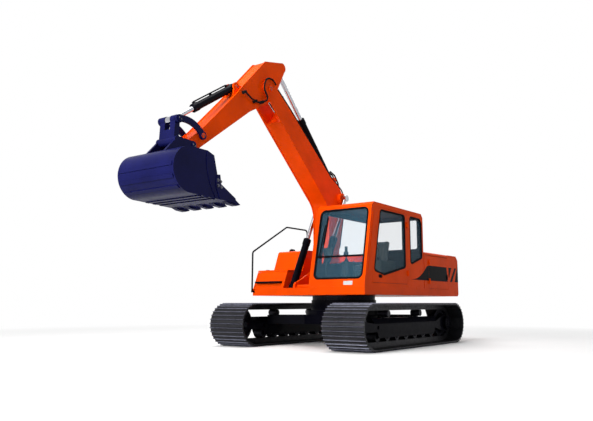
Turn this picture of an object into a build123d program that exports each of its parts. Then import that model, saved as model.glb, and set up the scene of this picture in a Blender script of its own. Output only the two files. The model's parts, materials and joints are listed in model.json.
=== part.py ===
"""Crawler excavator: tracks, swinging house with cab, and a boom, arm and bucket.

Lengths are millimetres.  +X points forward, +Y to the machine's left, +Z up.
The origin lies on the ground under the middle of the machine's overall box.
Points in the side view are (x, z) pairs counted from the swing axis and the ground.
"""
import os
from math import asin, atan2, cos, degrees, hypot, pi, radians, sin

from build123d import *

os.makedirs("parts", exist_ok=True)

# Running clearances
pin_clearance = 0.05
seat_gap = 0.3
side_gap = 5.0

# Undercarriage
tumbler_distance = 3400.0
track_height = 800.0
track_gauge = 2500.0
shoe_width = 800.0
shoe_pitch = 190.0
shoe_thickness = 14.0
shoe_notch = 9.0
lug_height = 26.0
lug_base = 26.0
lugs_per_shoe = 3
link_height = 90.0
link_width = 50.0
link_channel = 90.0
roller_radius = 85.0
rollers_per_side = 7
carrier_radius = 60.0
carrier_spacing = 1300.0
frame_width = 300.0
frame_top_width = 170.0
tow_hole_radius = 35.0

# House
deck_bottom = 940.0
deck_height = 140.0
floor_plate = 20.0
rail_thickness = 60.0
house_half_width = 1400.0
tail_radius = 2800.0
counterweight_front = -1936.0
hood_top = 1800.0
swing_ring_radius = 620.0
swing_bore_radius = 260.0

# Cab
cab_front = 1600.0
cab_rear = -760.0
cab_width = 1138.0
cab_wall = 55.0
roof_top = 2560.0
roof_setback = 300.0
sill_height = 1190.0
glass_thickness = 8.0

# Right-hand side
toolbox_front = 1140.0
toolbox_slope = 160.0
toolbox_rear = 480.0
toolbox_width = 745.0
toolbox_top = 1440.0
tank_front = 470.0
tank_slope = 170.0
tank_split = -330.0
tank_rear = -940.0
tank_top = 1860.0
handrail_radius = 17.0

# Working equipment, measured in the plane of the boom
boom_y = -170.0
boom_foot = (350.0, 1450.0)
boom_lower_length = 1330.0
boom_lower_angle = 91.0
boom_upper_length = 2750.0
boom_upper_angle = 40.0
boom_width = 380.0
boom_cylinder_foot = (1060.0, 1100.0)
boom_cylinder_spacing = 620.0
arm_length = 2330.0
arm_angle = -37.0
arm_width = 300.0
bucket_width = 1170.0
ear_gap = 326.0
ear_thickness = 40.0
boom_pin_radius = 50.0
arm_pin_radius = 45.0
bucket_pin_radius = 40.0
boom_tube_radius = 68.0
arm_tube_radius = 68.0
bucket_tube_radius = 62.0
ear_plate = 30.0


def polar(length, angle):
    return (length * cos(radians(angle)), length * sin(radians(angle)))


def shifted(point, *steps):
    return (point[0] + sum(s[0] for s in steps), point[1] + sum(s[1] for s in steps))


def distance(a, b):
    return hypot(b[0] - a[0], b[1] - a[1])


def bearing(a, b):
    return degrees(atan2(b[1] - a[1], b[0] - a[0]))


# Pivots of the boom, arm and bucket in the rest pose
boom_knee = shifted(boom_foot, polar(boom_lower_length, boom_lower_angle))
arm_pivot = shifted(boom_knee, polar(boom_upper_length, boom_upper_angle))
boom_cylinder_head = shifted(boom_foot, (-215.0, 1420.0))
arm_cylinder_foot = shifted(boom_knee, polar(200.0, boom_upper_angle), polar(430.0, boom_upper_angle + 90))


def on_arm(along, across):
    return shifted(arm_pivot, polar(along, arm_angle), polar(across, arm_angle + 90))


arm_lobe = (-650.0, 157.0)
bucket_foot_on_arm = (720.0, 340.0)
guide_on_arm = (arm_length - 290.0, 30.0)
arm_cylinder_head = on_arm(*arm_lobe)
bucket_pivot = on_arm(arm_length, 0.0)
bucket_cylinder_foot = on_arm(*bucket_foot_on_arm)
guide_pivot = on_arm(*guide_on_arm)
bucket_link_pin = shifted(bucket_pivot, polar(315.0, 3.0))
guide_length = 530.0
bucket_link_length = 335.0


def circles_meet(a, radius_a, b, radius_b):
    # The crossing of two circles that lies to the left of the line from a to b
    span = distance(a, b)
    along = (radius_a ** 2 - radius_b ** 2 + span ** 2) / (2 * span)
    across = (radius_a ** 2 - along ** 2) ** 0.5
    return shifted(a, polar(along, bearing(a, b)), polar(across, bearing(a, b) + 90))


link_top_pin = circles_meet(guide_pivot, guide_length, bucket_link_pin, bucket_link_length)

# Bucket outline, counted from its pivot pin
bucket_plate = 22.0
bucket_side_plate = 28.0
mouth_plate = 10.0
wear_strip = (60.0, 12.0)
bucket_top_rear = (-40.0, -200.0)
bucket_top_bend = (110.0, -150.0)
bucket_back_top = (420.0, -150.0)
bucket_back_radius = 335.0
bucket_lip = (-500.0, -850.0)

# The row's origin is the middle of the machine's length
machine_front = bucket_pivot[0] + bucket_back_top[0] + bucket_back_radius
swing_x = (tail_radius - machine_front) / 2

deck_top = deck_bottom + deck_height
cab_inner_y = house_half_width - cab_width
axle_height = track_height / 2
pitch_radius = axle_height - lug_height - shoe_thickness - link_height / 2
track_outer_y = track_gauge / 2 + shoe_width / 2


def side_plane(y=0.0):
    return Plane(origin=(swing_x, y, 0), x_dir=(1, 0, 0), z_dir=(0, -1, 0))


def level_plane(z=0.0):
    return Plane(origin=(swing_x, 0, z))


def cross_plane(x=0.0):
    return Plane(origin=(swing_x + x, 0, 0), x_dir=(0, 1, 0), z_dir=(1, 0, 0))


def link_plane(pivot, angle=0.0, y=boom_y):
    direction = (cos(radians(angle)), 0, sin(radians(angle)))
    return Plane(origin=(swing_x + pivot[0], y, pivot[1]), x_dir=direction, z_dir=(0, -1, 0))


def save(part, name):
    part.label = name
    export_step(part, "parts/" + name + ".step")


# Door hinges: a ring and leaf on the moving panel, and a pin in two lugs on the fixed one
hinge_pin_radius = 8.0
hinge_ring_radius = 15.0
hinge_stand_off = 18.0
hinge_ring_length = 70.0
hinge_leaf = 30.0
hinge_leaf_thickness = 10.0
hinge_lug_thickness = 12.0


def hinge_place(point, leaf, outward):
    # A plane across the hinge, local x along the moving leaf and local y outward
    return Plane(origin=point, x_dir=leaf, z_dir=Vector(*leaf).cross(Vector(*outward)))


def hinge_profile(leaf_side):
    Circle(hinge_ring_radius)
    with Locations((leaf_side * hinge_leaf / 2, -hinge_stand_off + hinge_leaf_thickness / 2 - 1)):
        Rectangle(hinge_leaf, hinge_leaf_thickness + 2)


def hinge_ring(place):
    with BuildSketch(place) as ring:
        hinge_profile(1)
        Circle(hinge_pin_radius + pin_clearance, mode=Mode.SUBTRACT)
    extrude(ring.sketch, amount=hinge_ring_length / 2, both=True)


def hinge_lugs(place):
    for end in (1, -1):
        middle = end * (hinge_ring_length / 2 + side_gap + hinge_lug_thickness / 2)
        with BuildSketch(place.offset(middle)) as lug:
            hinge_profile(-1)
        extrude(lug.sketch, amount=hinge_lug_thickness / 2, both=True)
    with BuildSketch(place) as pin:
        Circle(hinge_pin_radius)
    extrude(pin.sketch, amount=hinge_ring_length / 2 + side_gap + hinge_lug_thickness, both=True)


forward, backward, upward = (1, 0, 0), (-1, 0, 0), (0, 0, 1)
leftward, rightward = (0, 1, 0), (0, -1, 0)

# Hoses and steel pipes: an eight-sided section swept along runs joined by arcs
hose_radius = 15.0
pipe_radius = 12.0
clamp_length = 36.0


def swept_tube(points, radii, radius):
    with BuildLine() as route:
        FilletPolyline(*points, radius=radii)
    with BuildSketch(Plane(origin=route.line @ 0, z_dir=route.line % 0)) as section:
        RegularPolygon(radius, 8)
    sweep(section.sketch, path=route.line)

# Tracks: a loop of shoes on a chain of links, round idler and sprocket
loop_length = 2 * tumbler_distance + 2 * pi * pitch_radius
shoe_count = round(loop_length / shoe_pitch)


def loop_point(travel, outward):
    # A point beside the chain's pitch line, travel counted along it from the lower rear
    travel = travel % loop_length
    bend = pi * pitch_radius
    half = tumbler_distance / 2
    radius = pitch_radius + outward
    if travel < tumbler_distance:
        return (-half + travel, axle_height - radius)
    if travel < tumbler_distance + bend:
        turn = (travel - tumbler_distance) / pitch_radius
        return (half + radius * sin(turn), axle_height - radius * cos(turn))
    if travel < 2 * tumbler_distance + bend:
        return (half - (travel - tumbler_distance - bend), axle_height + radius)
    turn = (travel - 2 * tumbler_distance - bend) / pitch_radius
    return (-half - radius * sin(turn), axle_height + radius * cos(turn))


def shoe_outline():
    inner = link_height / 2
    outer = inner + shoe_thickness
    step = loop_length / shoe_count
    points = []
    for shoe in range(shoe_count):
        middle = (shoe + 0.5) * step
        points.append(loop_point(middle - step / 2, inner + shoe_notch))
        points.append(loop_point(middle - step / 2 + shoe_notch, outer))
        for lug in range(lugs_per_shoe):
            root = middle + (lug - (lugs_per_shoe - 1) / 2) * step / lugs_per_shoe
            points.append(loop_point(root - lug_base / 2, outer))
            points.append(loop_point(root, outer + lug_height))
            points.append(loop_point(root + lug_base / 2, outer))
        points.append(loop_point(middle + step / 2 - shoe_notch, outer))
    return points


def link_outline(outward):
    step = loop_length / shoe_count
    return [loop_point(joint * step, outward) for joint in range(shoe_count)]


shoe_points = shoe_outline()
link_outer_points = link_outline(link_height / 2 + shoe_thickness / 2)
shoe_inner_points = link_outline(link_height / 2)
link_inner_points = link_outline(-link_height / 2)
with BuildPart() as track_left:
    with BuildSketch(side_plane(track_gauge / 2)):
        with BuildLine():
            Polyline(*shoe_points, close=True)
        make_face()
        with BuildLine():
            Polyline(*shoe_inner_points, close=True)
        make_face(mode=Mode.SUBTRACT)
    extrude(amount=shoe_width / 2, both=True)
    for row in (-1, 1):
        with BuildSketch(side_plane(track_gauge / 2 + row * (link_channel + link_width) / 2)):
            with BuildLine():
                Polyline(*link_outer_points, close=True)
            make_face()
            with BuildLine():
                Polyline(*link_inner_points, close=True)
            make_face(mode=Mode.SUBTRACT)
        extrude(amount=link_width / 2, both=True)
save(track_left.part, "track_left")

with BuildPart() as track_right:
    mirror(track_left.part, about=Plane.XZ)
save(track_right.part, "track_right")

# Wheels that the chain runs on
# The links form a polygon round the wheels, so the rim fits inside their flats
links_round_wheel = round(2 * pi * pitch_radius / shoe_pitch)
rim_radius = (pitch_radius - link_height / 2) * cos(pi / links_round_wheel) - 4 * seat_gap
rim_width = link_channel + 2 * link_width
flange_radius = pitch_radius + 10.0
flange_width = link_channel - 20.0
hub_radius = 95.0
axle_radius = 50.0

with BuildPart() as front_idlers:
    for side in (1, -1):
        with BuildSketch(side_plane(side * track_gauge / 2)):
            with Locations((tumbler_distance / 2, axle_height)):
                Circle(rim_radius)
        extrude(amount=rim_width / 2, both=True)
        with BuildSketch(side_plane(side * track_gauge / 2)):
            with Locations((tumbler_distance / 2, axle_height)):
                Circle(flange_radius)
        extrude(amount=flange_width / 2, both=True)
        for face in (1, -1):
            with BuildSketch(side_plane(side * track_gauge / 2 + face * rim_width / 2)):
                with Locations((tumbler_distance / 2, axle_height)):
                    Circle(rim_radius - 35)
                    Circle(hub_radius, mode=Mode.SUBTRACT)
            extrude(amount=face * 40, mode=Mode.SUBTRACT)
        with BuildSketch(side_plane(side * track_gauge / 2)):
            with Locations((tumbler_distance / 2, axle_height)):
                Circle(axle_radius)
        extrude(amount=frame_width / 2, both=True)
save(front_idlers.part, "front_idlers")

sprocket_teeth = 11
with BuildPart() as drive_sprockets:
    for side in (1, -1):
        with BuildSketch(side_plane(side * track_gauge / 2)):
            with Locations((-tumbler_distance / 2, axle_height)):
                Circle(pitch_radius - 25)
                with PolarLocations(pitch_radius - 30, sprocket_teeth):
                    Trapezoid(70, 60, 68, rotation=-90)
        extrude(amount=flange_width / 2, both=True)
        with BuildSketch(side_plane(side * track_gauge / 2)):
            with Locations((-tumbler_distance / 2, axle_height)):
                Circle(rim_radius - 60)
        extrude(amount=rim_width / 2, both=True)
save(drive_sprockets.part, "drive_sprockets")

# Track frames: a box beam with a sloped top, idler yoke, roller guards and motor plate
roller_axle = link_height + shoe_thickness + lug_height + roller_radius + seat_gap
beam_bottom = roller_axle + roller_radius + side_gap
beam_shoulder = 440.0
cheek_plate = 36.0
guard_plate = 24.0
guard_depth = 105.0
motor_radius = 130.0
roller_hub_radius = 38.0
beam_top = 535.0
beam_front = tumbler_distance / 2 - 430.0
beam_rear = -tumbler_distance / 2 + 400.0
for side, name in ((1, "track_frame_left"), (-1, "track_frame_right")):
    frame_y = side * track_gauge / 2
    with BuildPart() as track_frame:
        with BuildSketch(cross_plane(beam_rear)):
            with Locations((frame_y, 0)):
                with BuildLine():
                    Polyline(
                        (frame_y - frame_width / 2, beam_bottom),
                        (frame_y + frame_width / 2, beam_bottom),
                        (frame_y + frame_width / 2, beam_shoulder),
                        (frame_y + frame_top_width / 2, beam_top),
                        (frame_y - frame_top_width / 2, beam_top),
                        (frame_y - frame_width / 2, beam_shoulder),
                        close=True,
                    )
                make_face()
        extrude(amount=beam_front - beam_rear)
        for cheek in (1, -1):
            cheek_y = frame_y + cheek * (frame_width - cheek_plate) / 2
            with BuildSketch(side_plane(cheek_y)):
                with BuildLine():
                    Polyline(
                        (beam_front - 60, beam_bottom),
                        (tumbler_distance / 2, axle_height - 95),
                        (tumbler_distance / 2 + 95, axle_height - 60),
                        (tumbler_distance / 2 + 95, axle_height + 60),
                        (tumbler_distance / 2, axle_height + 95),
                        (beam_front - 60, beam_shoulder),
                        close=True,
                    )
                make_face()
                with Locations((tumbler_distance / 2, axle_height)):
                    Circle(axle_radius + pin_clearance, mode=Mode.SUBTRACT)
            extrude(amount=cheek_plate / 2, both=True)
            with BuildSketch(side_plane(cheek_y)):
                with BuildLine():
                    Polyline(
                        (beam_rear + 60, beam_bottom),
                        (-tumbler_distance / 2, axle_height - 190),
                        (-tumbler_distance / 2 - 190, axle_height),
                        (-tumbler_distance / 2, axle_height + 190),
                        (beam_rear + 60, beam_shoulder),
                        close=True,
                    )
                make_face()
                with Locations((-tumbler_distance / 2, axle_height)):
                    Circle(motor_radius + pin_clearance, mode=Mode.SUBTRACT)
            extrude(amount=cheek_plate / 2, both=True)
            with BuildSketch(side_plane(cheek_y)):
                with BuildLine():
                    Polyline(
                        (beam_rear + 90, beam_bottom + 5),
                        (beam_rear + 150, beam_bottom - guard_depth),
                        (beam_front - 150, beam_bottom - guard_depth),
                        (beam_front - 90, beam_bottom + 5),
                        close=True,
                    )
                make_face()
            extrude(amount=guard_plate / 2, both=True)
        with BuildSketch(side_plane(frame_y)):
            with Locations((beam_front - 120, beam_bottom + 75)):
                Circle(tow_hole_radius)
        extrude(amount=frame_width, both=True, mode=Mode.SUBTRACT)
    save(track_frame.part, name)

roller_span = beam_front - beam_rear - 360.0
with BuildPart() as track_rollers:
    for side in (1, -1):
        for roller in range(rollers_per_side):
            place = beam_rear + 180 + roller * roller_span / (rollers_per_side - 1)
            with BuildSketch(side_plane(side * track_gauge / 2)):
                with Locations((place, roller_axle)):
                    Circle(roller_radius)
            extrude(amount=rim_width / 2, both=True)
            with BuildSketch(side_plane(side * track_gauge / 2)):
                with Locations((place, roller_axle)):
                    RegularPolygon(roller_hub_radius, 8)
            extrude(amount=frame_width / 2 - cheek_plate / 2 - guard_plate / 2 - seat_gap, both=True)
save(track_rollers.part, "track_rollers")

carrier_axle = track_height - link_height - shoe_thickness - lug_height - carrier_radius - seat_gap
with BuildPart() as carrier_rollers:
    for side in (1, -1):
        for end in (1, -1):
            with BuildSketch(side_plane(side * track_gauge / 2)):
                with Locations((end * carrier_spacing / 2, carrier_axle)):
                    Circle(carrier_radius)
            extrude(amount=rim_width / 2, both=True)
            with BuildSketch(level_plane(beam_top)):
                with Locations((end * carrier_spacing / 2, side * track_gauge / 2)):
                    Rectangle(90, 40)
            extrude(amount=carrier_axle - beam_top)
save(carrier_rollers.part, "carrier_rollers")

with BuildPart() as travel_motors:
    for side in (1, -1):
        with BuildSketch(side_plane(side * (track_gauge / 2 + frame_width / 2 + 60))):
            with Locations((-tumbler_distance / 2, axle_height)):
                Circle(motor_radius)
        extrude(amount=side * (frame_width / 2 + 60 - rim_width / 2 - seat_gap))
        with BuildSketch(side_plane(side * (track_gauge / 2 - rim_width / 2 - seat_gap))):
            with Locations((-tumbler_distance / 2, axle_height)):
                Circle(motor_radius)
        extrude(amount=side * (frame_width / 2 + 20 - rim_width / 2))
        with BuildSketch(side_plane(side * (track_gauge / 2 - frame_width / 2 - 20))):
            with Locations((-tumbler_distance / 2, axle_height)):
                Circle(motor_radius - 25)
        extrude(amount=side * 170)
save(travel_motors.part, "travel_motors")

# Carbody: a middle box on four legs, with the ring tower that carries the house
carbody_bottom = 400.0
carbody_top = 660.0
leg_reach = track_gauge / 2 - frame_width / 2 - seat_gap
leg_front = 1050.0
ring_height = 84.0
swivel_radius = 170.0
swivel_flange = 30.0
with BuildPart() as carbody:
    with BuildSketch(level_plane(carbody_bottom)):
        with BuildLine():
            Polyline(
                (leg_front, leg_reach), (leg_front - 420, leg_reach), (220, 560), (-220, 560),
                (-leg_front + 420, leg_reach), (-leg_front, leg_reach), (-760, 420), (-760, -420),
                (-leg_front, -leg_reach), (-leg_front + 420, -leg_reach), (-220, -560), (220, -560),
                (leg_front - 420, -leg_reach), (leg_front, -leg_reach), (760, -420), (760, 420),
                close=True,
            )
        make_face()
    extrude(amount=carbody_top - carbody_bottom - 90)
    with BuildSketch(level_plane(carbody_top - 90)):
        Circle(swing_ring_radius + 130)
    extrude(amount=90)
    with BuildSketch(level_plane(carbody_top)):
        Circle(swing_ring_radius + 20)
    extrude(amount=deck_bottom - ring_height - carbody_top - seat_gap)
    with BuildSketch(level_plane(carbody_bottom + swivel_flange)):
        Circle(swing_bore_radius)
    extrude(amount=deck_bottom, mode=Mode.SUBTRACT)
    with BuildSketch(level_plane(carbody_bottom)):
        Circle(swivel_radius)
    extrude(amount=deck_bottom + floor_plate - carbody_bottom)
save(carbody.part, "carbody")

with BuildPart() as swing_ring:
    with BuildSketch(level_plane(deck_bottom - ring_height)):
        Circle(swing_ring_radius)
        Circle(swing_ring_radius - 130, mode=Mode.SUBTRACT)
    extrude(amount=ring_height - seat_gap)
save(swing_ring.part, "swing_ring")

# Revolving frame: floor plate, edge rails and the two tall plates that carry the boom
nose_front = 1210.0
nose_left = cab_inner_y - 10.0
nose_right = -house_half_width + toolbox_width - 10.0
girder_offset = boom_width / 2 + 4.0
girder_thickness = 42.0
cylinder_eye_width = 96.0
foot_boss_radius = 130.0
cylinder_boss_radius = 95.0
cylinder_pin_radius = 40.0
cylinder_pin_reach = boom_cylinder_spacing / 2 + cylinder_eye_width / 2 + 8
deck_outline = [
    (counterweight_front, house_half_width), (cab_front, house_half_width), (cab_front, nose_left),
    (nose_front, nose_left), (nose_front, nose_right), (toolbox_front, nose_right),
    (toolbox_front, -house_half_width), (counterweight_front, -house_half_width),
]
with BuildPart() as revolving_frame:
    with BuildSketch(level_plane(deck_bottom)):
        with BuildLine():
            Polyline(*deck_outline, close=True)
        make_face()
    extrude(amount=deck_height)
    with BuildSketch(level_plane(deck_bottom + floor_plate)):
        with BuildLine():
            Polyline(*deck_outline, close=True)
        make_face()
        offset(amount=-rail_thickness, kind=Kind.INTERSECTION, mode=Mode.REPLACE)
    extrude(amount=deck_height, mode=Mode.SUBTRACT)
    with BuildSketch(level_plane(deck_bottom + floor_plate)):
        Rectangle(1500, 1300)
    extrude(amount=deck_height - floor_plate)
    for girder in (1, -1):
        girder_y = boom_y + girder * (girder_offset + girder_thickness / 2)
        with BuildSketch(side_plane(girder_y)):
            with BuildLine():
                Polyline(
                    (counterweight_front, deck_bottom + floor_plate),
                    (nose_front, deck_bottom + floor_plate),
                    (boom_cylinder_foot[0] + cylinder_boss_radius, boom_cylinder_foot[1]),
                    (boom_cylinder_foot[0], boom_cylinder_foot[1] + cylinder_boss_radius),
                    (boom_foot[0] + foot_boss_radius, boom_foot[1]),
                    (boom_foot[0] - foot_boss_radius, boom_foot[1]),
                    (boom_foot[0] - 420, deck_top + 60),
                    (cab_rear + 60, deck_top),
                    (counterweight_front, deck_top),
                    close=True,
                )
            make_face()
            with Locations(boom_foot):
                Circle(foot_boss_radius)
            with Locations(boom_cylinder_foot):
                Circle(cylinder_boss_radius)
        extrude(amount=girder_thickness / 2, both=True)
    with BuildSketch(side_plane(boom_y)):
        with Locations(boom_foot):
            Circle(boom_pin_radius)
    extrude(amount=girder_offset + girder_thickness + 12, both=True)
    with BuildSketch(side_plane(boom_y)):
        with Locations(boom_cylinder_foot):
            Circle(cylinder_pin_radius)
    extrude(amount=cylinder_pin_reach, both=True)
    with BuildSketch(level_plane(deck_bottom)):
        Circle(swing_bore_radius)
    extrude(amount=deck_height, mode=Mode.SUBTRACT)
save(revolving_frame.part, "revolving_frame")

# Engine bay: walls that stay, engine, hinged hood and one door each side
bay_seam = -976.0
wall_thickness = 40.0
hood_thickness = 55.0
hood_gap = 8.0
door_gap = 5.0
bay_top = hood_top - hood_thickness - door_gap
bay_hinge_heights = (deck_top + 150.0, bay_top - 130.0)
left_bay_hinges = [
    hinge_place(
        (swing_x + bay_seam - door_gap / 2, house_half_width + hinge_stand_off, z),
        backward, leftward,
    )
    for z in bay_hinge_heights
]
right_bay_seam = tank_rear - hood_gap - wall_thickness
right_bay_hinges = [
    hinge_place(
        (swing_x + right_bay_seam - door_gap / 2, -house_half_width - hinge_stand_off, z),
        backward, rightward,
    )
    for z in bay_hinge_heights
]
hood_hinges = [
    hinge_place(
        (swing_x + counterweight_front + door_gap / 2, y, hood_top + hinge_stand_off),
        forward, upward,
    )
    for y in (-900.0, 900.0)
]
with BuildPart() as engine_bay:
    with BuildSketch(level_plane(deck_top + seat_gap)):
        with BuildLine():
            Polyline(
                (bay_seam, house_half_width), (cab_rear - hood_gap, house_half_width),
                (cab_rear - hood_gap, cab_inner_y), (tank_rear - hood_gap, cab_inner_y),
                (tank_rear - hood_gap, -house_half_width), (right_bay_seam, -house_half_width),
                (right_bay_seam, cab_inner_y), (bay_seam, cab_inner_y + wall_thickness),
                close=True,
            )
        make_face()
    extrude(amount=bay_top - deck_top - seat_gap)
    for place in left_bay_hinges + right_bay_hinges:
        hinge_lugs(place)
save(engine_bay.part, "engine_bay")

engine_size = (700.0, 1150.0, 560.0)
engine_center = (-1480.0, 150.0)
with BuildPart() as engine:
    with BuildSketch(level_plane(deck_top + seat_gap)):
        with Locations(engine_center):
            Rectangle(engine_size[0], engine_size[1])
    extrude(amount=engine_size[2])
save(engine.part, "engine")

door_height = bay_top - deck_top - 2 * door_gap
vent_size = (560.0, 24.0)
vent_pitch = 60.0
for side, name, front, hinges, vents in (
    (1, "left_side_door", bay_seam, left_bay_hinges, 0),
    (-1, "right_side_door", right_bay_seam, right_bay_hinges, 7),
):
    with BuildPart() as side_door:
        with BuildSketch(level_plane(deck_top + door_gap)):
            with BuildLine():
                Polyline(
                    (front - door_gap, side * house_half_width),
                    (counterweight_front + door_gap, side * house_half_width),
                    (counterweight_front + door_gap, side * (house_half_width - wall_thickness)),
                    (front - door_gap, side * (house_half_width - wall_thickness)),
                    close=True,
                )
            make_face()
        extrude(amount=door_height)
        if vents:
            with BuildSketch(side_plane(side * house_half_width)):
                with Locations(((front + counterweight_front) / 2, deck_top + door_height / 2)):
                    with GridLocations(0, vent_pitch, 1, vents):
                        Rectangle(*vent_size)
            extrude(amount=side * wall_thickness, mode=Mode.SUBTRACT)
        for place in hinges:
            hinge_ring(place)
    save(side_door.part, name)

with BuildPart() as engine_hood:
    with BuildSketch(level_plane(hood_top - hood_thickness)):
        with BuildLine():
            Polyline(
                (counterweight_front + door_gap, house_half_width),
                (cab_rear - hood_gap, house_half_width), (cab_rear - hood_gap, cab_inner_y),
                (tank_rear - hood_gap, cab_inner_y), (tank_rear - hood_gap, -house_half_width),
                (counterweight_front + door_gap, -house_half_width),
                close=True,
            )
        make_face()
    extrude(amount=hood_thickness)
    chamfer(engine_hood.faces().sort_by(Axis.Z)[-1].edges().filter_by(Axis.X), length=22)
    for place in hood_hinges:
        hinge_ring(place)
save(engine_hood.part, "engine_hood")

exhaust_radius = 55.0
exhaust_height = 150.0
exhaust_place = (-1500.0, -850.0)
with BuildPart() as exhaust:
    with BuildSketch(level_plane(hood_top + seat_gap)):
        with Locations(exhaust_place):
            Circle(exhaust_radius + 25)
            Circle(exhaust_radius - 8, mode=Mode.SUBTRACT)
    extrude(amount=15)
    with BuildSketch(level_plane(hood_top + seat_gap)):
        with Locations(exhaust_place):
            Circle(exhaust_radius)
            Circle(exhaust_radius - 8, mode=Mode.SUBTRACT)
    extrude(amount=exhaust_height)
save(exhaust.part, "exhaust")

# Counterweight: curved tail, sloped top and bottom edges and two lifting holes
lifting_hole_radius = 30.0
lifting_hole_depth = 120.0
lifting_hole_spacing = 1500.0
lifting_hole_x = -2350.0
tail_corner_x = -2480.0
tail_slope = 90.0
with BuildPart() as counterweight:
    with BuildSketch(level_plane(deck_bottom)):
        with BuildLine():
            Polyline(
                (tail_corner_x, house_half_width),
                (counterweight_front - seat_gap, house_half_width),
                (counterweight_front - seat_gap, -house_half_width),
                (tail_corner_x, -house_half_width),
            )
            ThreePointArc(
                (tail_corner_x, -house_half_width), (-tail_radius, 0), (tail_corner_x, house_half_width)
            )
        make_face()
    extrude(amount=hood_top - deck_bottom)
    chamfer(counterweight.faces().sort_by(Axis.Z)[-1].edges().group_by(Axis.X)[0], length=tail_slope)
    chamfer(counterweight.faces().sort_by(Axis.Z)[0].edges().group_by(Axis.X)[0], length=tail_slope / 2)
    with BuildSketch(level_plane(hood_top)):
        with Locations((lifting_hole_x, 0)):
            with GridLocations(0, lifting_hole_spacing, 1, 2):
                Circle(lifting_hole_radius)
    extrude(amount=-lifting_hole_depth, mode=Mode.SUBTRACT)
    for place in hood_hinges:
        hinge_lugs(place)
save(counterweight.part, "counterweight")

# Tanks on the right, and the toolbox with its lid ahead of them
tank_inner_y = nose_right - 6
tank_edge_radius = 90.0
with BuildPart() as fuel_tank:
    with BuildSketch(side_plane(-house_half_width)) as tank_side:
        with BuildLine():
            Polyline(
                (tank_split + 3, deck_top + seat_gap), (tank_front, deck_top + seat_gap),
                (tank_front, toolbox_top), (tank_front - tank_slope, tank_top),
                (tank_split + 3, tank_top), close=True,
            )
        make_face()
        fillet(tank_side.vertices().group_by(Axis.Y)[-1].sort_by(Axis.X)[-1], radius=tank_edge_radius)
    extrude(amount=-(tank_inner_y + house_half_width))
save(fuel_tank.part, "fuel_tank")

with BuildPart() as hydraulic_tank:
    with BuildSketch(level_plane(deck_top + seat_gap)):
        with Locations(((tank_split + tank_rear) / 2 - 3, (tank_inner_y - house_half_width) / 2)):
            Rectangle(tank_split - tank_rear - 6, tank_inner_y + house_half_width)
    extrude(amount=tank_top - deck_top - seat_gap)
save(hydraulic_tank.part, "hydraulic_tank")

box_wall = 30.0
lid_thickness = 30.0
toolbox_outline = [
    (toolbox_rear, deck_top + seat_gap), (toolbox_front - 12, deck_top + seat_gap),
    (toolbox_front - toolbox_slope, toolbox_top - lid_thickness - door_gap),
    (toolbox_rear + box_wall, toolbox_top - lid_thickness - door_gap),
    (toolbox_rear + box_wall, toolbox_top), (toolbox_rear, toolbox_top),
]
lid_rear = toolbox_rear + box_wall + door_gap
lid_hinges = [
    hinge_place(
        (
            swing_x + lid_rear - door_gap / 2,
            -house_half_width + toolbox_width * share,
            toolbox_top + hinge_stand_off,
        ),
        forward, upward,
    )
    for share in (0.22, 0.78)
]
with BuildPart() as toolbox:
    with BuildSketch(side_plane(-house_half_width)):
        with BuildLine():
            Polyline(*toolbox_outline, close=True)
        make_face()
    extrude(amount=-toolbox_width + 12)
    with BuildSketch(side_plane(-house_half_width + box_wall)):
        with BuildLine():
            Polyline(
                (toolbox_rear + box_wall, deck_top + box_wall),
                (toolbox_front - 60, deck_top + box_wall),
                (toolbox_front - toolbox_slope - 45, toolbox_top),
                (toolbox_rear + box_wall, toolbox_top),
                close=True,
            )
        make_face()
    extrude(amount=-toolbox_width + 12 + 2 * box_wall, mode=Mode.SUBTRACT)
    for place in lid_hinges:
        hinge_lugs(place)
save(toolbox.part, "toolbox")

with BuildPart() as toolbox_lid:
    with BuildSketch(side_plane(-house_half_width)):
        with BuildLine():
            Polyline(
                (lid_rear, toolbox_top - lid_thickness),
                (toolbox_front - toolbox_slope, toolbox_top - lid_thickness),
                (toolbox_front - toolbox_slope - 12, toolbox_top),
                (lid_rear, toolbox_top),
                close=True,
            )
        make_face()
    extrude(amount=-toolbox_width + 12)
    for place in lid_hinges:
        hinge_ring(place)
save(toolbox_lid.part, "toolbox_lid")

step_height = 1180.0
step_depth = 70.0
step_thickness = 36.0
toolbox_lean = (toolbox_slope - 12) / (toolbox_top - lid_thickness - door_gap - deck_top - seat_gap)
step_back = toolbox_front - 12 - (step_height - deck_top - seat_gap) * toolbox_lean + 1
with BuildPart() as toolbox_step:
    with BuildSketch(side_plane(-house_half_width + 60)):
        with BuildLine():
            Polyline(
                (step_back, step_height), (step_back + step_depth, step_height),
                (step_back + step_depth, step_height + step_thickness),
                (step_back - step_thickness * toolbox_lean, step_height + step_thickness), close=True,
            )
        make_face()
    extrude(amount=-(toolbox_width - 132))
save(toolbox_step.part, "toolbox_step")

# Right handrail: one bent tube from the toolbox step up over the tank
rail_y = -house_half_width + 30.0
rail_points = [
    (1200.0, deck_top - 70), (1190.0, 1800.0), (60.0, 2400.0), (-700.0, 2400.0),
    (-700.0, tank_top + seat_gap),
]
with BuildPart() as handrail:
    with BuildLine() as rail_path:
        FilletPolyline(
            *[(swing_x + x, rail_y, z) for x, z in rail_points], radius=70
        )
    with BuildSketch(Plane(origin=rail_path.line @ 0, z_dir=rail_path.line % 0)):
        RegularPolygon(handrail_radius, 10)
    sweep()
    with BuildSketch(side_plane(rail_y)):
        with BuildLine():
            Polyline(
                (toolbox_front + seat_gap, deck_top - 75), (1215, deck_top - 75),
                (1215, deck_top - 35), (toolbox_front + seat_gap, deck_top - 35), close=True,
            )
        make_face()
    extrude(amount=13, both=True)
save(handrail.part, "handrail")

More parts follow.
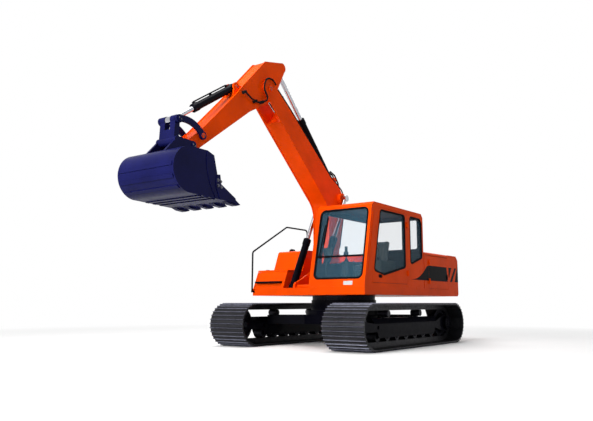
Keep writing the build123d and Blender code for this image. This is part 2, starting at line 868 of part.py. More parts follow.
# Cab shell: a hollow box with a leaning windscreen, its windows and door opening cut out
cab_middle_y = (house_half_width + cab_inner_y) / 2
screen_foot = (cab_front - 12, sill_height)
screen_head = (cab_front - roof_setback, roof_top - 55)
roof_front = (screen_head[0] - 70, roof_top)
roof_rear = (cab_rear + 90, roof_top - 15)
cab_outline = [
    (cab_front, deck_top + seat_gap), screen_foot, screen_head, roof_front,
    roof_rear, (cab_rear, roof_top - 110), (cab_rear, deck_top + seat_gap),
]
screen_bottom = sill_height + 45
screen_top = roof_top - 120
screen_split = screen_bottom + 0.31 * (screen_top - screen_bottom)
screen_left = house_half_width - 80
screen_right = cab_inner_y + 110
screen_radius = 75.0
door_front_x = 1330.0
door_rear_x = -30.0
door_bottom = deck_top + cab_wall + 10
door_top = roof_top - 85
handle_inset = 296.0
handle_rise = 119.0
handle_size = (150.0, 62.0)
handle_depth = 14.0
window_radius = 45.0
door_outline = [
    (door_front_x, door_bottom), (door_front_x, door_bottom + 180),
    (door_front_x - 265, door_top), (door_rear_x, door_top), (door_rear_x, door_bottom),
]
door_window = [
    (door_front_x - 90, door_bottom + 225), (door_front_x - 440, door_bottom + 165),
    (door_rear_x + 100, door_bottom + 325), (door_rear_x + 100, door_top - 55),
    (door_front_x - 345, door_top - 55),
]
side_window = [
    (door_rear_x - 150, door_bottom + 400), (door_rear_x - 150, door_top - 55),
    (cab_rear + 160, door_top - 60), (cab_rear + 105, door_top - 130),
    (cab_rear + 105, door_bottom + 540),
]
right_window = [
    (door_front_x - 60, door_bottom + 350), (door_front_x - 320, door_top - 55),
    (cab_rear + 140, door_top - 55), (cab_rear + 140, door_bottom + 500),
]
rear_window = (cab_width - 230, screen_top - hood_top - 60)


def rounded_outline(points, shrink=0.0, radius=window_radius):
    # A closed outline with rounded corners, for a window and for the glass that fits it
    with BuildSketch() as outline:
        with BuildLine():
            Polyline(*points, close=True)
        make_face()
        fillet(outline.vertices(), radius=radius)
        if shrink:
            offset(amount=-shrink, mode=Mode.REPLACE)
    return outline.sketch


cab_door_hinges = [
    hinge_place(
        (swing_x + door_rear_x, house_half_width + hinge_stand_off, deck_top + height), forward, leftward
    )
    for height in (270.0, 1180.0)
]
with BuildPart() as cab_shell:
    with BuildSketch(side_plane(cab_middle_y)):
        with BuildLine():
            Polyline(*cab_outline, close=True)
        make_face()
    extrude(amount=cab_width / 2, both=True)
    chamfer(cab_shell.edges().filter_by(Axis.Z).group_by(Axis.X)[-1], length=18)
    with BuildSketch(side_plane(cab_middle_y)):
        with BuildLine():
            Polyline(*cab_outline, close=True)
        make_face()
        offset(amount=-cab_wall, kind=Kind.INTERSECTION, mode=Mode.REPLACE)
    extrude(amount=cab_width / 2 - cab_wall, both=True, mode=Mode.SUBTRACT)
    with BuildSketch(cross_plane(cab_front + 20)):
        with Locations(((screen_left + screen_right) / 2, (screen_bottom + screen_top) / 2)):
            RectangleRounded(screen_left - screen_right, screen_top - screen_bottom, screen_radius)
    extrude(amount=-(roof_setback + cab_wall + 120), mode=Mode.SUBTRACT)
    with BuildSketch(side_plane(house_half_width + 1)):
        with BuildLine():
            Polyline(*door_outline, close=True)
        make_face()
        add(rounded_outline(side_window))
    extrude(amount=cab_wall + 2, mode=Mode.SUBTRACT)
    with BuildSketch(side_plane(cab_inner_y - 1)):
        add(rounded_outline(right_window))
    extrude(amount=-cab_wall - 2, mode=Mode.SUBTRACT)
    with BuildSketch(cross_plane(cab_rear - 1)):
        with Locations((cab_middle_y, (hood_top + 60 + screen_top) / 2)):
            RectangleRounded(rear_window[0], rear_window[1], window_radius)
    extrude(amount=cab_wall + 2, mode=Mode.SUBTRACT)
    for place in cab_door_hinges:
        hinge_lugs(place)
save(cab_shell.part, "cab_shell")

glass_inset = 18.0
screen_seam = 8.0
with BuildPart() as cab_glass:
    for low, high in (
        (screen_bottom + seat_gap, screen_split - screen_seam / 2),
        (screen_split + screen_seam / 2, screen_top - seat_gap),
    ):
        with BuildSketch(cross_plane(cab_front + 20)):
            with Locations(((screen_left + screen_right) / 2, (screen_bottom + screen_top) / 2)):
                RectangleRounded(
                    screen_left - screen_right - 2 * seat_gap,
                    screen_top - screen_bottom - 2 * seat_gap, screen_radius,
                )
            with Locations(((screen_left + screen_right) / 2, (low + high) / 2)):
                Rectangle(cab_width, high - low, mode=Mode.INTERSECT)
        extrude(amount=-(roof_setback + cab_wall + 120), mode=Mode.ADD)
    with BuildSketch(side_plane(cab_middle_y)):
        with BuildLine():
            Polyline(
                shifted(screen_foot, polar(glass_inset, 180)),
                shifted(screen_head, polar(glass_inset, 180)),
                shifted(screen_head, polar(glass_inset + glass_thickness, 180)),
                shifted(screen_foot, polar(glass_inset + glass_thickness, 180)),
                close=True,
            )
        make_face()
    extrude(amount=cab_width / 2, both=True, mode=Mode.INTERSECT)
    with BuildSketch(side_plane(house_half_width - glass_inset)):
        add(rounded_outline(side_window, seat_gap))
    extrude(amount=glass_thickness)
    with BuildSketch(side_plane(cab_inner_y + glass_inset)):
        add(rounded_outline(right_window, seat_gap))
    extrude(amount=-glass_thickness)
    with BuildSketch(cross_plane(cab_rear + glass_inset)):
        with Locations((cab_middle_y, (hood_top + 60 + screen_top) / 2)):
            RectangleRounded(rear_window[0] - 2 * seat_gap, rear_window[1] - 2 * seat_gap, window_radius)
    extrude(amount=glass_thickness)
save(cab_glass.part, "cab_glass")

with BuildPart() as cab_door:
    with BuildSketch(side_plane(house_half_width)):
        with BuildLine():
            Polyline(*door_outline, close=True)
        make_face()
        offset(amount=-door_gap, kind=Kind.INTERSECTION, mode=Mode.REPLACE)
        add(rounded_outline(door_window), mode=Mode.SUBTRACT)
    extrude(amount=cab_wall)
    with BuildSketch(side_plane(house_half_width)):
        with Locations((door_front_x - handle_inset, door_bottom + handle_rise)):
            SlotOverall(*handle_size)
    extrude(amount=handle_depth, mode=Mode.SUBTRACT)
    for place in cab_door_hinges:
        hinge_ring(place)
save(cab_door.part, "cab_door")

with BuildPart() as door_glass:
    with BuildSketch(side_plane(house_half_width - glass_inset)):
        add(rounded_outline(door_window, seat_gap))
    extrude(amount=glass_thickness)
save(door_glass.part, "door_glass")

# Cab inside: seat base with consoles, seat cushions, levers and pedals
cab_floor = deck_top + seat_gap + cab_wall
seat_x = 380.0
seat_base_size = (420.0, 440.0, 260.0)
console_size = (640.0, 150.0, 430.0)
console_place = (60.0, 345.0)
console_radius = 40.0
console_step = (400.0, 80.0, 60.0)
cushion_size = (520.0, 500.0, 130.0)
cushion_radius = 70.0
backrest_size = (105.0, 460.0, 560.0)
backrest_place = (-190.0, -20.0)
backrest_lean = 14.0
with BuildPart() as seat_base:
    with BuildSketch(level_plane(cab_floor + seat_gap)):
        with Locations((seat_x, cab_middle_y)):
            Rectangle(seat_base_size[0], seat_base_size[1])
    extrude(amount=seat_base_size[2])
    for side in (1, -1):
        with BuildSketch(level_plane(cab_floor + seat_gap)):
            with Locations((seat_x + console_place[0], cab_middle_y + side * console_place[1])):
                RectangleRounded(console_size[0], console_size[1], console_radius)
        extrude(amount=console_size[2])
        step_y = (seat_base_size[1] + console_step[1]) / 2 - 15
        with BuildSketch(level_plane(cab_floor + seat_gap)):
            with Locations((seat_x, cab_middle_y + side * step_y)):
                Rectangle(console_step[0], console_step[1])
        extrude(amount=console_step[2])
save(seat_base.part, "seat_base")

cushion_top = cab_floor + seat_base_size[2] + 2 * seat_gap + cushion_size[2]
with BuildPart() as seat_cushions:
    with BuildSketch(level_plane(cushion_top - cushion_size[2])):
        with Locations((seat_x, cab_middle_y)):
            RectangleRounded(cushion_size[0], cushion_size[1], cushion_radius)
    extrude(amount=cushion_size[2])
    backrest_foot = shifted((seat_x, cushion_top), backrest_place)
    with BuildSketch(side_plane(cab_middle_y)):
        with BuildLine():
            Polyline(
                backrest_foot,
                shifted(backrest_foot, polar(backrest_size[2], 90 + backrest_lean)),
                shifted(
                    backrest_foot, polar(backrest_size[2], 90 + backrest_lean),
                    polar(backrest_size[0], 180 + backrest_lean),
                ),
                shifted(backrest_foot, polar(backrest_size[0], 180 + backrest_lean)),
                close=True,
            )
        make_face()
    extrude(amount=backrest_size[1] / 2, both=True)
save(seat_cushions.part, "seat_cushions")

lever_radius = 14.0
lever_height = 190.0
lever_advance = 300.0
grip_radius = 27.0
grip_height = 95.0
pedal_size = (190.0, 110.0, 70.0)
pedal_place = (760.0, 90.0)
pedal_rod_height = 330.0
console_top = cab_floor + seat_gap + console_size[2] + seat_gap
with BuildPart() as controls:
    for side in (1, -1):
        lever_place = (seat_x + lever_advance, cab_middle_y + side * console_place[1])
        with BuildSketch(level_plane(console_top)):
            with Locations(lever_place):
                Circle(lever_radius)
        extrude(amount=lever_height)
        with BuildSketch(level_plane(console_top + lever_height)):
            with Locations(lever_place):
                Circle(grip_radius)
        extrude(amount=grip_height)
        pedal_middle = (seat_x + pedal_place[0], cab_middle_y + side * pedal_place[1])
        with BuildSketch(level_plane(cab_floor + seat_gap)):
            with Locations(pedal_middle):
                Rectangle(pedal_size[0], pedal_size[1])
        extrude(amount=pedal_size[2])
        with BuildSketch(level_plane(cab_floor + seat_gap + pedal_size[2])):
            with Locations(pedal_middle):
                Circle(lever_radius)
        extrude(amount=pedal_rod_height)
save(controls.part, "controls")

# Boom: a bent box beam, from its foot through the knee to the fork that holds the arm
boom_foot_radius = 120.0
nose_radius = 170.0
fork_gap = arm_width + 2 * side_gap
fork_reach = 620.0
plate_lip = 12.0
side_plate = 22.0
knee_radius = 420.0
foot_bracket_radius = 75.0


def on_boom(station, along, across):
    # A point beside a station of the boom, across counted towards the boom's back
    angle = boom_lower_angle if station == "lower" else boom_upper_angle
    base = boom_foot if station == "lower" else boom_knee
    return shifted(base, polar(along, angle), polar(across, angle + 90))


boom_front = [
    on_boom("lower", 0, -boom_foot_radius), on_boom("lower", 350, -190),
    on_boom("lower", boom_lower_length - 250, -205), on_boom("upper", 180, -235),
    on_boom("upper", 650, -225), on_boom("upper", boom_upper_length - 700, -190),
    on_boom("upper", boom_upper_length, -nose_radius + 12),
]
boom_back = [
    on_boom("upper", boom_upper_length, nose_radius - 12),
    on_boom("upper", boom_upper_length - 620, 205), on_boom("upper", 420, 275),
    on_boom("lower", boom_lower_length + 250, 320), on_boom("lower", boom_lower_length - 180, 330),
    on_boom("lower", 450, 170), on_boom("lower", 0, boom_foot_radius),
]
head_boss_radius = 110.0
head_boss_reach = boom_cylinder_spacing / 2 - cylinder_eye_width / 2 - side_gap
with BuildSketch() as boom_beam:
    with BuildLine():
        Polyline(*boom_front, *boom_back, close=True)
    make_face()
    fillet(
        [v for v in boom_beam.vertices() if distance((v.X, v.Y), boom_knee) < 1.1 * knee_radius],
        radius=knee_radius,
    )
with BuildSketch() as boom_side:
    add(boom_beam.sketch)
    with Locations(boom_foot):
        Circle(boom_foot_radius)
    with Locations(arm_pivot):
        Circle(nose_radius)
with BuildPart() as boom:
    with BuildSketch(side_plane(boom_y)):
        add(boom_side.sketch)
    extrude(amount=boom_width / 2, both=True)
    # The front and back plates lie inside the edges of the two side plates
    with BuildSketch(side_plane(boom_y)):
        add(boom_side.sketch)
        add(offset(boom_side.sketch, amount=-plate_lip, mode=Mode.PRIVATE), mode=Mode.SUBTRACT)
    extrude(amount=boom_width / 2 - side_plate, both=True, mode=Mode.SUBTRACT)
    with BuildSketch(side_plane(boom_y)):
        with Locations(boom_foot):
            Circle(boom_foot_radius)
    extrude(amount=boom_width / 2, both=True)
    with BuildSketch(side_plane(boom_y)):
        with Locations(arm_pivot):
            Circle(fork_reach)
    extrude(amount=fork_gap / 2, both=True, mode=Mode.SUBTRACT)
    with BuildSketch(side_plane(boom_y)):
        with Locations(boom_foot):
            Circle(boom_pin_radius + pin_clearance)
    extrude(amount=boom_width, both=True, mode=Mode.SUBTRACT)
    with BuildSketch(side_plane(boom_y)):
        with Locations(boom_cylinder_head):
            Circle(head_boss_radius)
    extrude(amount=head_boss_reach, both=True)
    with BuildSketch(side_plane(boom_y)):
        with Locations(boom_cylinder_head):
            Circle(cylinder_pin_radius)
    extrude(amount=head_boss_reach + side_gap - seat_gap, both=True)
    with BuildSketch(side_plane(boom_y)):
        with Locations(arm_pivot):
            Circle(arm_pin_radius)
    extrude(amount=boom_width / 2 + 30, both=True)
    for ear in (1, -1):
        with BuildSketch(side_plane(boom_y + ear * (arm_tube_radius + side_gap + ear_plate / 2))):
            with BuildLine():
                Polyline(
                    on_boom("upper", -20, 230), on_boom("upper", 460, 230),
                    shifted(arm_cylinder_foot, polar(foot_bracket_radius, boom_upper_angle)),
                    shifted(arm_cylinder_foot, polar(foot_bracket_radius, boom_upper_angle + 90)),
                    shifted(arm_cylinder_foot, polar(foot_bracket_radius, boom_upper_angle + 180)),
                    close=True,
                )
            make_face()
            with Locations(arm_cylinder_foot):
                Circle(foot_bracket_radius)
        extrude(amount=ear_plate / 2, both=True)
    with BuildSketch(side_plane(boom_y)):
        with Locations(arm_cylinder_foot):
            Circle(arm_tube_radius + 14)
    extrude(amount=arm_tube_radius + side_gap, both=True, mode=Mode.SUBTRACT)
    with BuildSketch(side_plane(boom_y)):
        with Locations(arm_cylinder_foot):
            Circle(cylinder_pin_radius)
    extrude(amount=arm_tube_radius + side_gap + ear_plate + 8, both=True)
save(boom.part, "boom")

# Boom pipes: a steel pipe on each edge of the boom's back, and the hoses over the knee
pipe_y = boom_width / 2 - 16
pipe_stand_off = 34.0
pipe_route = [
    on_boom("upper", boom_upper_length - 160, 168 + pipe_stand_off),
    on_boom("upper", boom_upper_length - 620, 205 + pipe_stand_off),
    on_boom("upper", 420, 275 + pipe_stand_off),
    on_boom("lower", boom_lower_length + 250, 320 + pipe_stand_off),
    on_boom("lower", boom_lower_length - 180, 330 + pipe_stand_off),
    on_boom("lower", 450, 170 + pipe_stand_off),
    on_boom("lower", 330, 100),
]
pipe_bends = (400, 300, 250, 400, 60)
clamp_places = [
    ("upper", boom_upper_length - 330, 176), ("upper", 1500, 225), ("upper", 640, 263),
    ("lower", 900, 262), ("lower", 520, 180),
]
knee_hose = [
    on_boom("upper", 352, 566), on_boom("upper", 190, 630), on_boom("upper", -10, 600),
    on_boom("upper", -130, 480), on_boom("lower", boom_lower_length - 60, 300),
]
knee_hose_bends = (90, 110, 110)
knee_hose_y = 24.0
with BuildPart() as boom_pipes:
    for side in (1, -1):
        swept_tube(
            [(swing_x + x, boom_y + side * pipe_y, z) for x, z in pipe_route], pipe_bends, pipe_radius
        )
        for station, along, across in clamp_places:
            angle = boom_lower_angle if station == "lower" else boom_upper_angle
            with BuildSketch(link_plane(on_boom(station, along, across), angle, boom_y + side * pipe_y)):
                Rectangle(clamp_length, 2 * (pipe_stand_off + pipe_radius))
            extrude(amount=pipe_radius + 4, both=True)
        swept_tube(
            [(swing_x + x, boom_y + side * knee_hose_y, z) for x, z in knee_hose],
            knee_hose_bends, hose_radius,
        )
    # The knee hoses end on the back plate, and the clamps on the edges of the side plates
    with BuildSketch(side_plane(boom_y)):
        add(offset(boom_side.sketch, amount=seat_gap - plate_lip, mode=Mode.PRIVATE))
    extrude(amount=boom_width, both=True, mode=Mode.SUBTRACT)
    for side in (1, -1):
        with BuildSketch(side_plane(boom_y + side * (pipe_y - pipe_radius - 4))):
            add(offset(boom_side.sketch, amount=seat_gap, mode=Mode.PRIVATE))
        extrude(amount=-side * boom_width, mode=Mode.SUBTRACT)
save(boom_pipes.part, "boom_pipes")

# Arm: a tapered box with the cylinder lobe behind its pivot
lobe_radius = 88.0
lobe_slot_radius = 260.0
arm_hub_radius = 215.0
tip_radius = 105.0
arm_outline = [
    shifted(arm_lobe, (0, -lobe_radius)), (-60, -arm_hub_radius + 5), (160, -arm_hub_radius + 10),
    (720, -130), (arm_length, -tip_radius), (arm_length, tip_radius), (arm_length - 350, 112),
    (950, 245), (540, 320), (-220, 438), shifted(arm_lobe, (-50, lobe_radius - 14)),
]
with BuildSketch() as arm_side:
    with BuildLine():
        Polyline(*arm_outline, close=True)
    make_face()
    Circle(arm_hub_radius)
    with Locations(arm_lobe):
        Circle(lobe_radius)
    with Locations((arm_length, 0)):
        Circle(tip_radius)
arm_plane = link_plane(arm_pivot, arm_angle)
with BuildPart() as arm:
    with BuildSketch(arm_plane):
        add(arm_side.sketch)
    extrude(amount=arm_width / 2, both=True)
    with BuildSketch(arm_plane):
        add(arm_side.sketch)
        add(offset(arm_side.sketch, amount=-plate_lip, mode=Mode.PRIVATE), mode=Mode.SUBTRACT)
    extrude(amount=arm_width / 2 - side_plate, both=True, mode=Mode.SUBTRACT)
    with BuildSketch(arm_plane):
        with Locations(arm_lobe):
            Circle(lobe_slot_radius)
    extrude(amount=cylinder_eye_width / 2 + side_gap, both=True, mode=Mode.SUBTRACT)
    with BuildSketch(arm_plane):
        with Locations((arm_length, 0)):
            Circle(tip_radius - 15)
    extrude(amount=ear_gap / 2 - 3, both=True)
    with BuildSketch(arm_plane):
        Circle(arm_pin_radius + pin_clearance)
        with Locations((arm_length, 0)):
            Circle(bucket_pin_radius + pin_clearance)
    extrude(amount=arm_width, both=True, mode=Mode.SUBTRACT)
    for ear in (1, -1):
        ear_y = boom_y + ear * (bucket_tube_radius + side_gap + ear_plate / 2)
        with BuildSketch(link_plane(arm_pivot, arm_angle, ear_y)):
            with BuildLine():
                Polyline(
                    shifted(bucket_foot_on_arm, (-160, -100)), shifted(bucket_foot_on_arm, (180, -100)),
                    shifted(bucket_foot_on_arm, (foot_bracket_radius, 0)),
                    shifted(bucket_foot_on_arm, (0, foot_bracket_radius)),
                    shifted(bucket_foot_on_arm, (-foot_bracket_radius, 0)), close=True,
                )
            make_face()
            with Locations(bucket_foot_on_arm):
                Circle(foot_bracket_radius)
        extrude(amount=ear_plate / 2, both=True)
    with BuildSketch(arm_plane):
        with Locations(bucket_foot_on_arm):
            Circle(bucket_tube_radius + 14)
    extrude(amount=bucket_tube_radius + side_gap, both=True, mode=Mode.SUBTRACT)
    with BuildSketch(arm_plane):
        with Locations(bucket_foot_on_arm):
            Circle(cylinder_pin_radius)
    extrude(amount=bucket_tube_radius + side_gap + ear_plate + 8, both=True)
    with BuildSketch(arm_plane):
        with Locations(guide_on_arm):
            Circle(bucket_pin_radius)
    extrude(amount=ear_gap / 2 + ear_thickness, both=True)
save(arm.part, "arm")

# Arm hoses: one on each side, from the bucket cylinder's foot down and round the pivot
hose_y = boom_width / 2 + hose_radius + side_gap
hose_ring_radius = nose_radius + 6.0
hose_turn = 60.0
hose_corner = hose_ring_radius / cos(radians(hose_turn / 2))
hose_route = [
    (700, 215), (600, 40), (450, -95), (165, -145),
    polar(hose_corner, 20), polar(hose_corner, 20 + hose_turn), polar(hose_corner, 20 + 2 * hose_turn),
    polar(hose_ring_radius + 2, 20 + 2.7 * hose_turn),
]
hose_bends = (260, 180, 70, 165, 165, 165)
hose_clamps = [(700, 215), (525, -27), (370, -109)]
with BuildPart() as arm_hoses:
    for side in (1, -1):
        route = [on_arm(along, across) for along, across in hose_route]
        swept_tube(
            [(swing_x + x, boom_y + side * hose_y, z) for x, z in route], hose_bends, hose_radius
        )
        for place in hose_clamps:
            clamp_middle = boom_y + side * (arm_width / 2 + seat_gap)
            with BuildSketch(link_plane(arm_pivot, arm_angle, clamp_middle)):
                with Locations(place):
                    Rectangle(2 * hose_radius + 14, 2 * hose_radius + 14)
            extrude(amount=-side * (hose_y + hose_radius + 4 - arm_width / 2 - seat_gap))
save(arm_hoses.part, "arm_hoses")

# Bucket: a rounded back and flat floor between two side plates, ears, teeth and side cutters
arc_center = (bucket_back_top[0], bucket_back_top[1] - bucket_back_radius)
lip_span = distance(bucket_lip, arc_center)
floor_angle = bearing(bucket_lip, arc_center) - degrees(asin(bucket_back_radius / lip_span))
floor_length = (lip_span ** 2 - bucket_back_radius ** 2) ** 0.5
mouth_bend = (-150.0, -600.0)
mouth_plate_foot = shifted(bucket_lip, polar(400, floor_angle))
mouth_plate_middle = (90.0, -470.0)
strip_places = [
    (shifted(bucket_lip, polar(along, floor_angle)), floor_angle) for along in (420, 560, 700)
] + [
    (shifted(arc_center, polar(bucket_back_radius, angle)), angle + 90)
    for angle in (floor_angle - 55, floor_angle - 25, floor_angle + 5)
]
cutter_thickness = 22.0
tooth_count = 5
tooth_width = 90.0
tooth_reach = 150.0
ear_radius = 66.0


def bucket_shell(inward):
    # Top, back and floor of the bucket, moved inward from the outer face
    top_angle = bearing(bucket_top_rear, bucket_top_bend)
    radius = bucket_back_radius - inward
    floor_end = shifted(bucket_lip, polar(floor_length, floor_angle), polar(inward, floor_angle + 90))
    Polyline(
        shifted(bucket_top_rear, polar(inward, top_angle - 90)),
        shifted(bucket_top_bend, (0, -inward)),
        shifted(bucket_back_top, (0, -inward)),
    )
    ThreePointArc(
        shifted(bucket_back_top, (0, -inward)), shifted(arc_center, (radius, 0)), floor_end
    )
    Line(floor_end, shifted(bucket_lip, polar(inward, floor_angle + 90)))


with BuildPart() as bucket:
    with BuildSketch(link_plane(bucket_pivot)):
        with BuildLine():
            bucket_shell(0)
            Polyline(bucket_lip, mouth_bend, bucket_top_rear)
        make_face()
    extrude(amount=bucket_width / 2, both=True)
    with BuildSketch(link_plane(bucket_pivot)):
        with BuildLine():
            bucket_shell(bucket_plate)
            top_angle = bearing(bucket_top_rear, bucket_top_bend)
            Polyline(
                shifted(bucket_lip, polar(bucket_plate, floor_angle + 90)),
                shifted(bucket_lip, polar(bucket_plate, floor_angle + 90), polar(-400, floor_angle)),
                shifted(bucket_top_rear, polar(bucket_plate, top_angle - 90), polar(-600, top_angle)),
                shifted(bucket_top_rear, polar(bucket_plate, top_angle - 90)),
            )
        make_face()
    extrude(amount=bucket_width / 2 - bucket_side_plate, both=True, mode=Mode.SUBTRACT)
    for ear in (1, -1):
        ear_y = boom_y + ear * (ear_gap + ear_thickness) / 2
        with BuildSketch(link_plane(bucket_pivot, 0, ear_y)):
            with BuildLine():
                Polyline(
                    shifted(bucket_top_rear, (0, -5)), (-ear_radius + 4, 0), (0, ear_radius - 8),
                    (315, ear_radius + 10), (380, 10), (560, -178), (420, -165), (110, -165),
                    close=True,
                )
            make_face()
            Circle(ear_radius)
            with Locations(polar(315, 3)):
                Circle(ear_radius)
        extrude(amount=ear_thickness / 2, both=True)
        mouth_y = boom_y + ear * (bucket_width + mouth_plate) / 2
        with BuildSketch(link_plane(bucket_pivot, 0, mouth_y)):
            with BuildLine():
                Polyline(bucket_top_bend, bucket_top_rear, mouth_bend, bucket_lip, mouth_plate_foot)
                ThreePointArc(mouth_plate_foot, mouth_plate_middle, bucket_top_bend)
            make_face()
        extrude(amount=mouth_plate / 2, both=True)
        cutter_y = boom_y + ear * (bucket_width + cutter_thickness) / 2
        with BuildSketch(link_plane(bucket_pivot, 0, cutter_y)):
            with BuildLine():
                Polyline(
                    shifted(bucket_lip, (-40, 0)), shifted(bucket_lip, (-10, 70)), (-190, -610),
                    (-165, -470), (-95, -480), (-75, -640), shifted(bucket_lip, (330, 12)),
                    close=True,
                )
            make_face()
        extrude(amount=cutter_thickness / 2, both=True)
    for place, angle in strip_places:
        with BuildSketch(link_plane(bucket_pivot)):
            with Locations(Location((place[0], place[1], 0), (0, 0, angle))):
                Rectangle(wear_strip[0], 2 * wear_strip[1])
        extrude(amount=bucket_width / 2 - bucket_side_plate, both=True)
    for tooth in range(tooth_count):
        tooth_y = boom_y + (tooth / (tooth_count - 1) - 0.5) * (bucket_width - tooth_width)
        with BuildSketch(link_plane(bucket_pivot, 0, tooth_y)):
            with BuildLine():
                Polyline(
                    shifted(bucket_lip, (150, bucket_plate + 6)), shifted(bucket_lip, (60, 55)),
                    shifted(bucket_lip, (-50, 45)), shifted(bucket_lip, (-tooth_reach, -12)),
                    shifted(bucket_lip, (-60, -38)), shifted(bucket_lip, (80, -28)),
                    shifted(bucket_lip, (170, 2)),
                    close=True,
                )
            make_face()
        extrude(amount=tooth_width / 2, both=True)
    with BuildSketch(link_plane(bucket_pivot)):
        Circle(bucket_pin_radius)
    extrude(amount=ear_gap / 2 + ear_thickness + 18, both=True)
save(bucket.part, "bucket")

# Links between the arm, the bucket cylinder and the bucket
link_eye_radius = 64.0
rod_eye_half = 50.0
rod_eye_slot = rod_eye_half + 6
guide_eye_half = link_eye_radius - 6
guide_bow = 75.0
guide_half_depth = 50.0
link_half_width = ear_gap / 2 - 3
guide_inner = ear_gap / 2 + 2
guide_angle = bearing(guide_pivot, link_top_pin)
with BuildPart() as guide_links:
    for side in (1, -1):
        guide_y = boom_y + side * (guide_inner + ear_gap / 2 + ear_thickness - 3) / 2
        with BuildSketch(link_plane(guide_pivot, guide_angle, guide_y)):
            with BuildLine():
                ThreePointArc(
                    (guide_length, guide_eye_half), (guide_length / 2, guide_bow + guide_half_depth),
                    (0, guide_eye_half),
                )
                Line((0, guide_eye_half), (0, -guide_eye_half))
                ThreePointArc(
                    (0, -guide_eye_half), (guide_length / 2, guide_bow - guide_half_depth),
                    (guide_length, -guide_eye_half),
                )
                Line((guide_length, -guide_eye_half), (guide_length, guide_eye_half))
            make_face()
            Circle(link_eye_radius)
            with Locations((guide_length, 0)):
                Circle(link_eye_radius)
            Circle(bucket_pin_radius + pin_clearance, mode=Mode.SUBTRACT)
        extrude(amount=(ear_gap / 2 + ear_thickness - 3 - guide_inner) / 2, both=True)
        with BuildSketch(link_plane(link_top_pin, 0, boom_y + side * rod_eye_slot)):
            Circle(bucket_pin_radius)
        extrude(amount=-side * (ear_gap / 2 + ear_thickness + 12 - rod_eye_slot))
save(guide_links.part, "guide_links")

link_angle = bearing(link_top_pin, bucket_link_pin)
with BuildPart() as bucket_link:
    with BuildSketch(link_plane(link_top_pin, link_angle)):
        with Locations((bucket_link_length / 2, 0)):
            Rectangle(bucket_link_length, 96)
        Circle(link_eye_radius)
        with Locations((bucket_link_length, 0)):
            Circle(link_eye_radius)
    extrude(amount=link_half_width, both=True)
    with BuildSketch(link_plane(link_top_pin, link_angle)):
        Circle(bucket_link_length / 2)
    extrude(amount=rod_eye_slot, both=True, mode=Mode.SUBTRACT)
    with BuildSketch(link_plane(link_top_pin, link_angle)):
        Circle(bucket_pin_radius + pin_clearance)
    extrude(amount=link_half_width, both=True, mode=Mode.SUBTRACT)
save(bucket_link.part, "bucket_link")

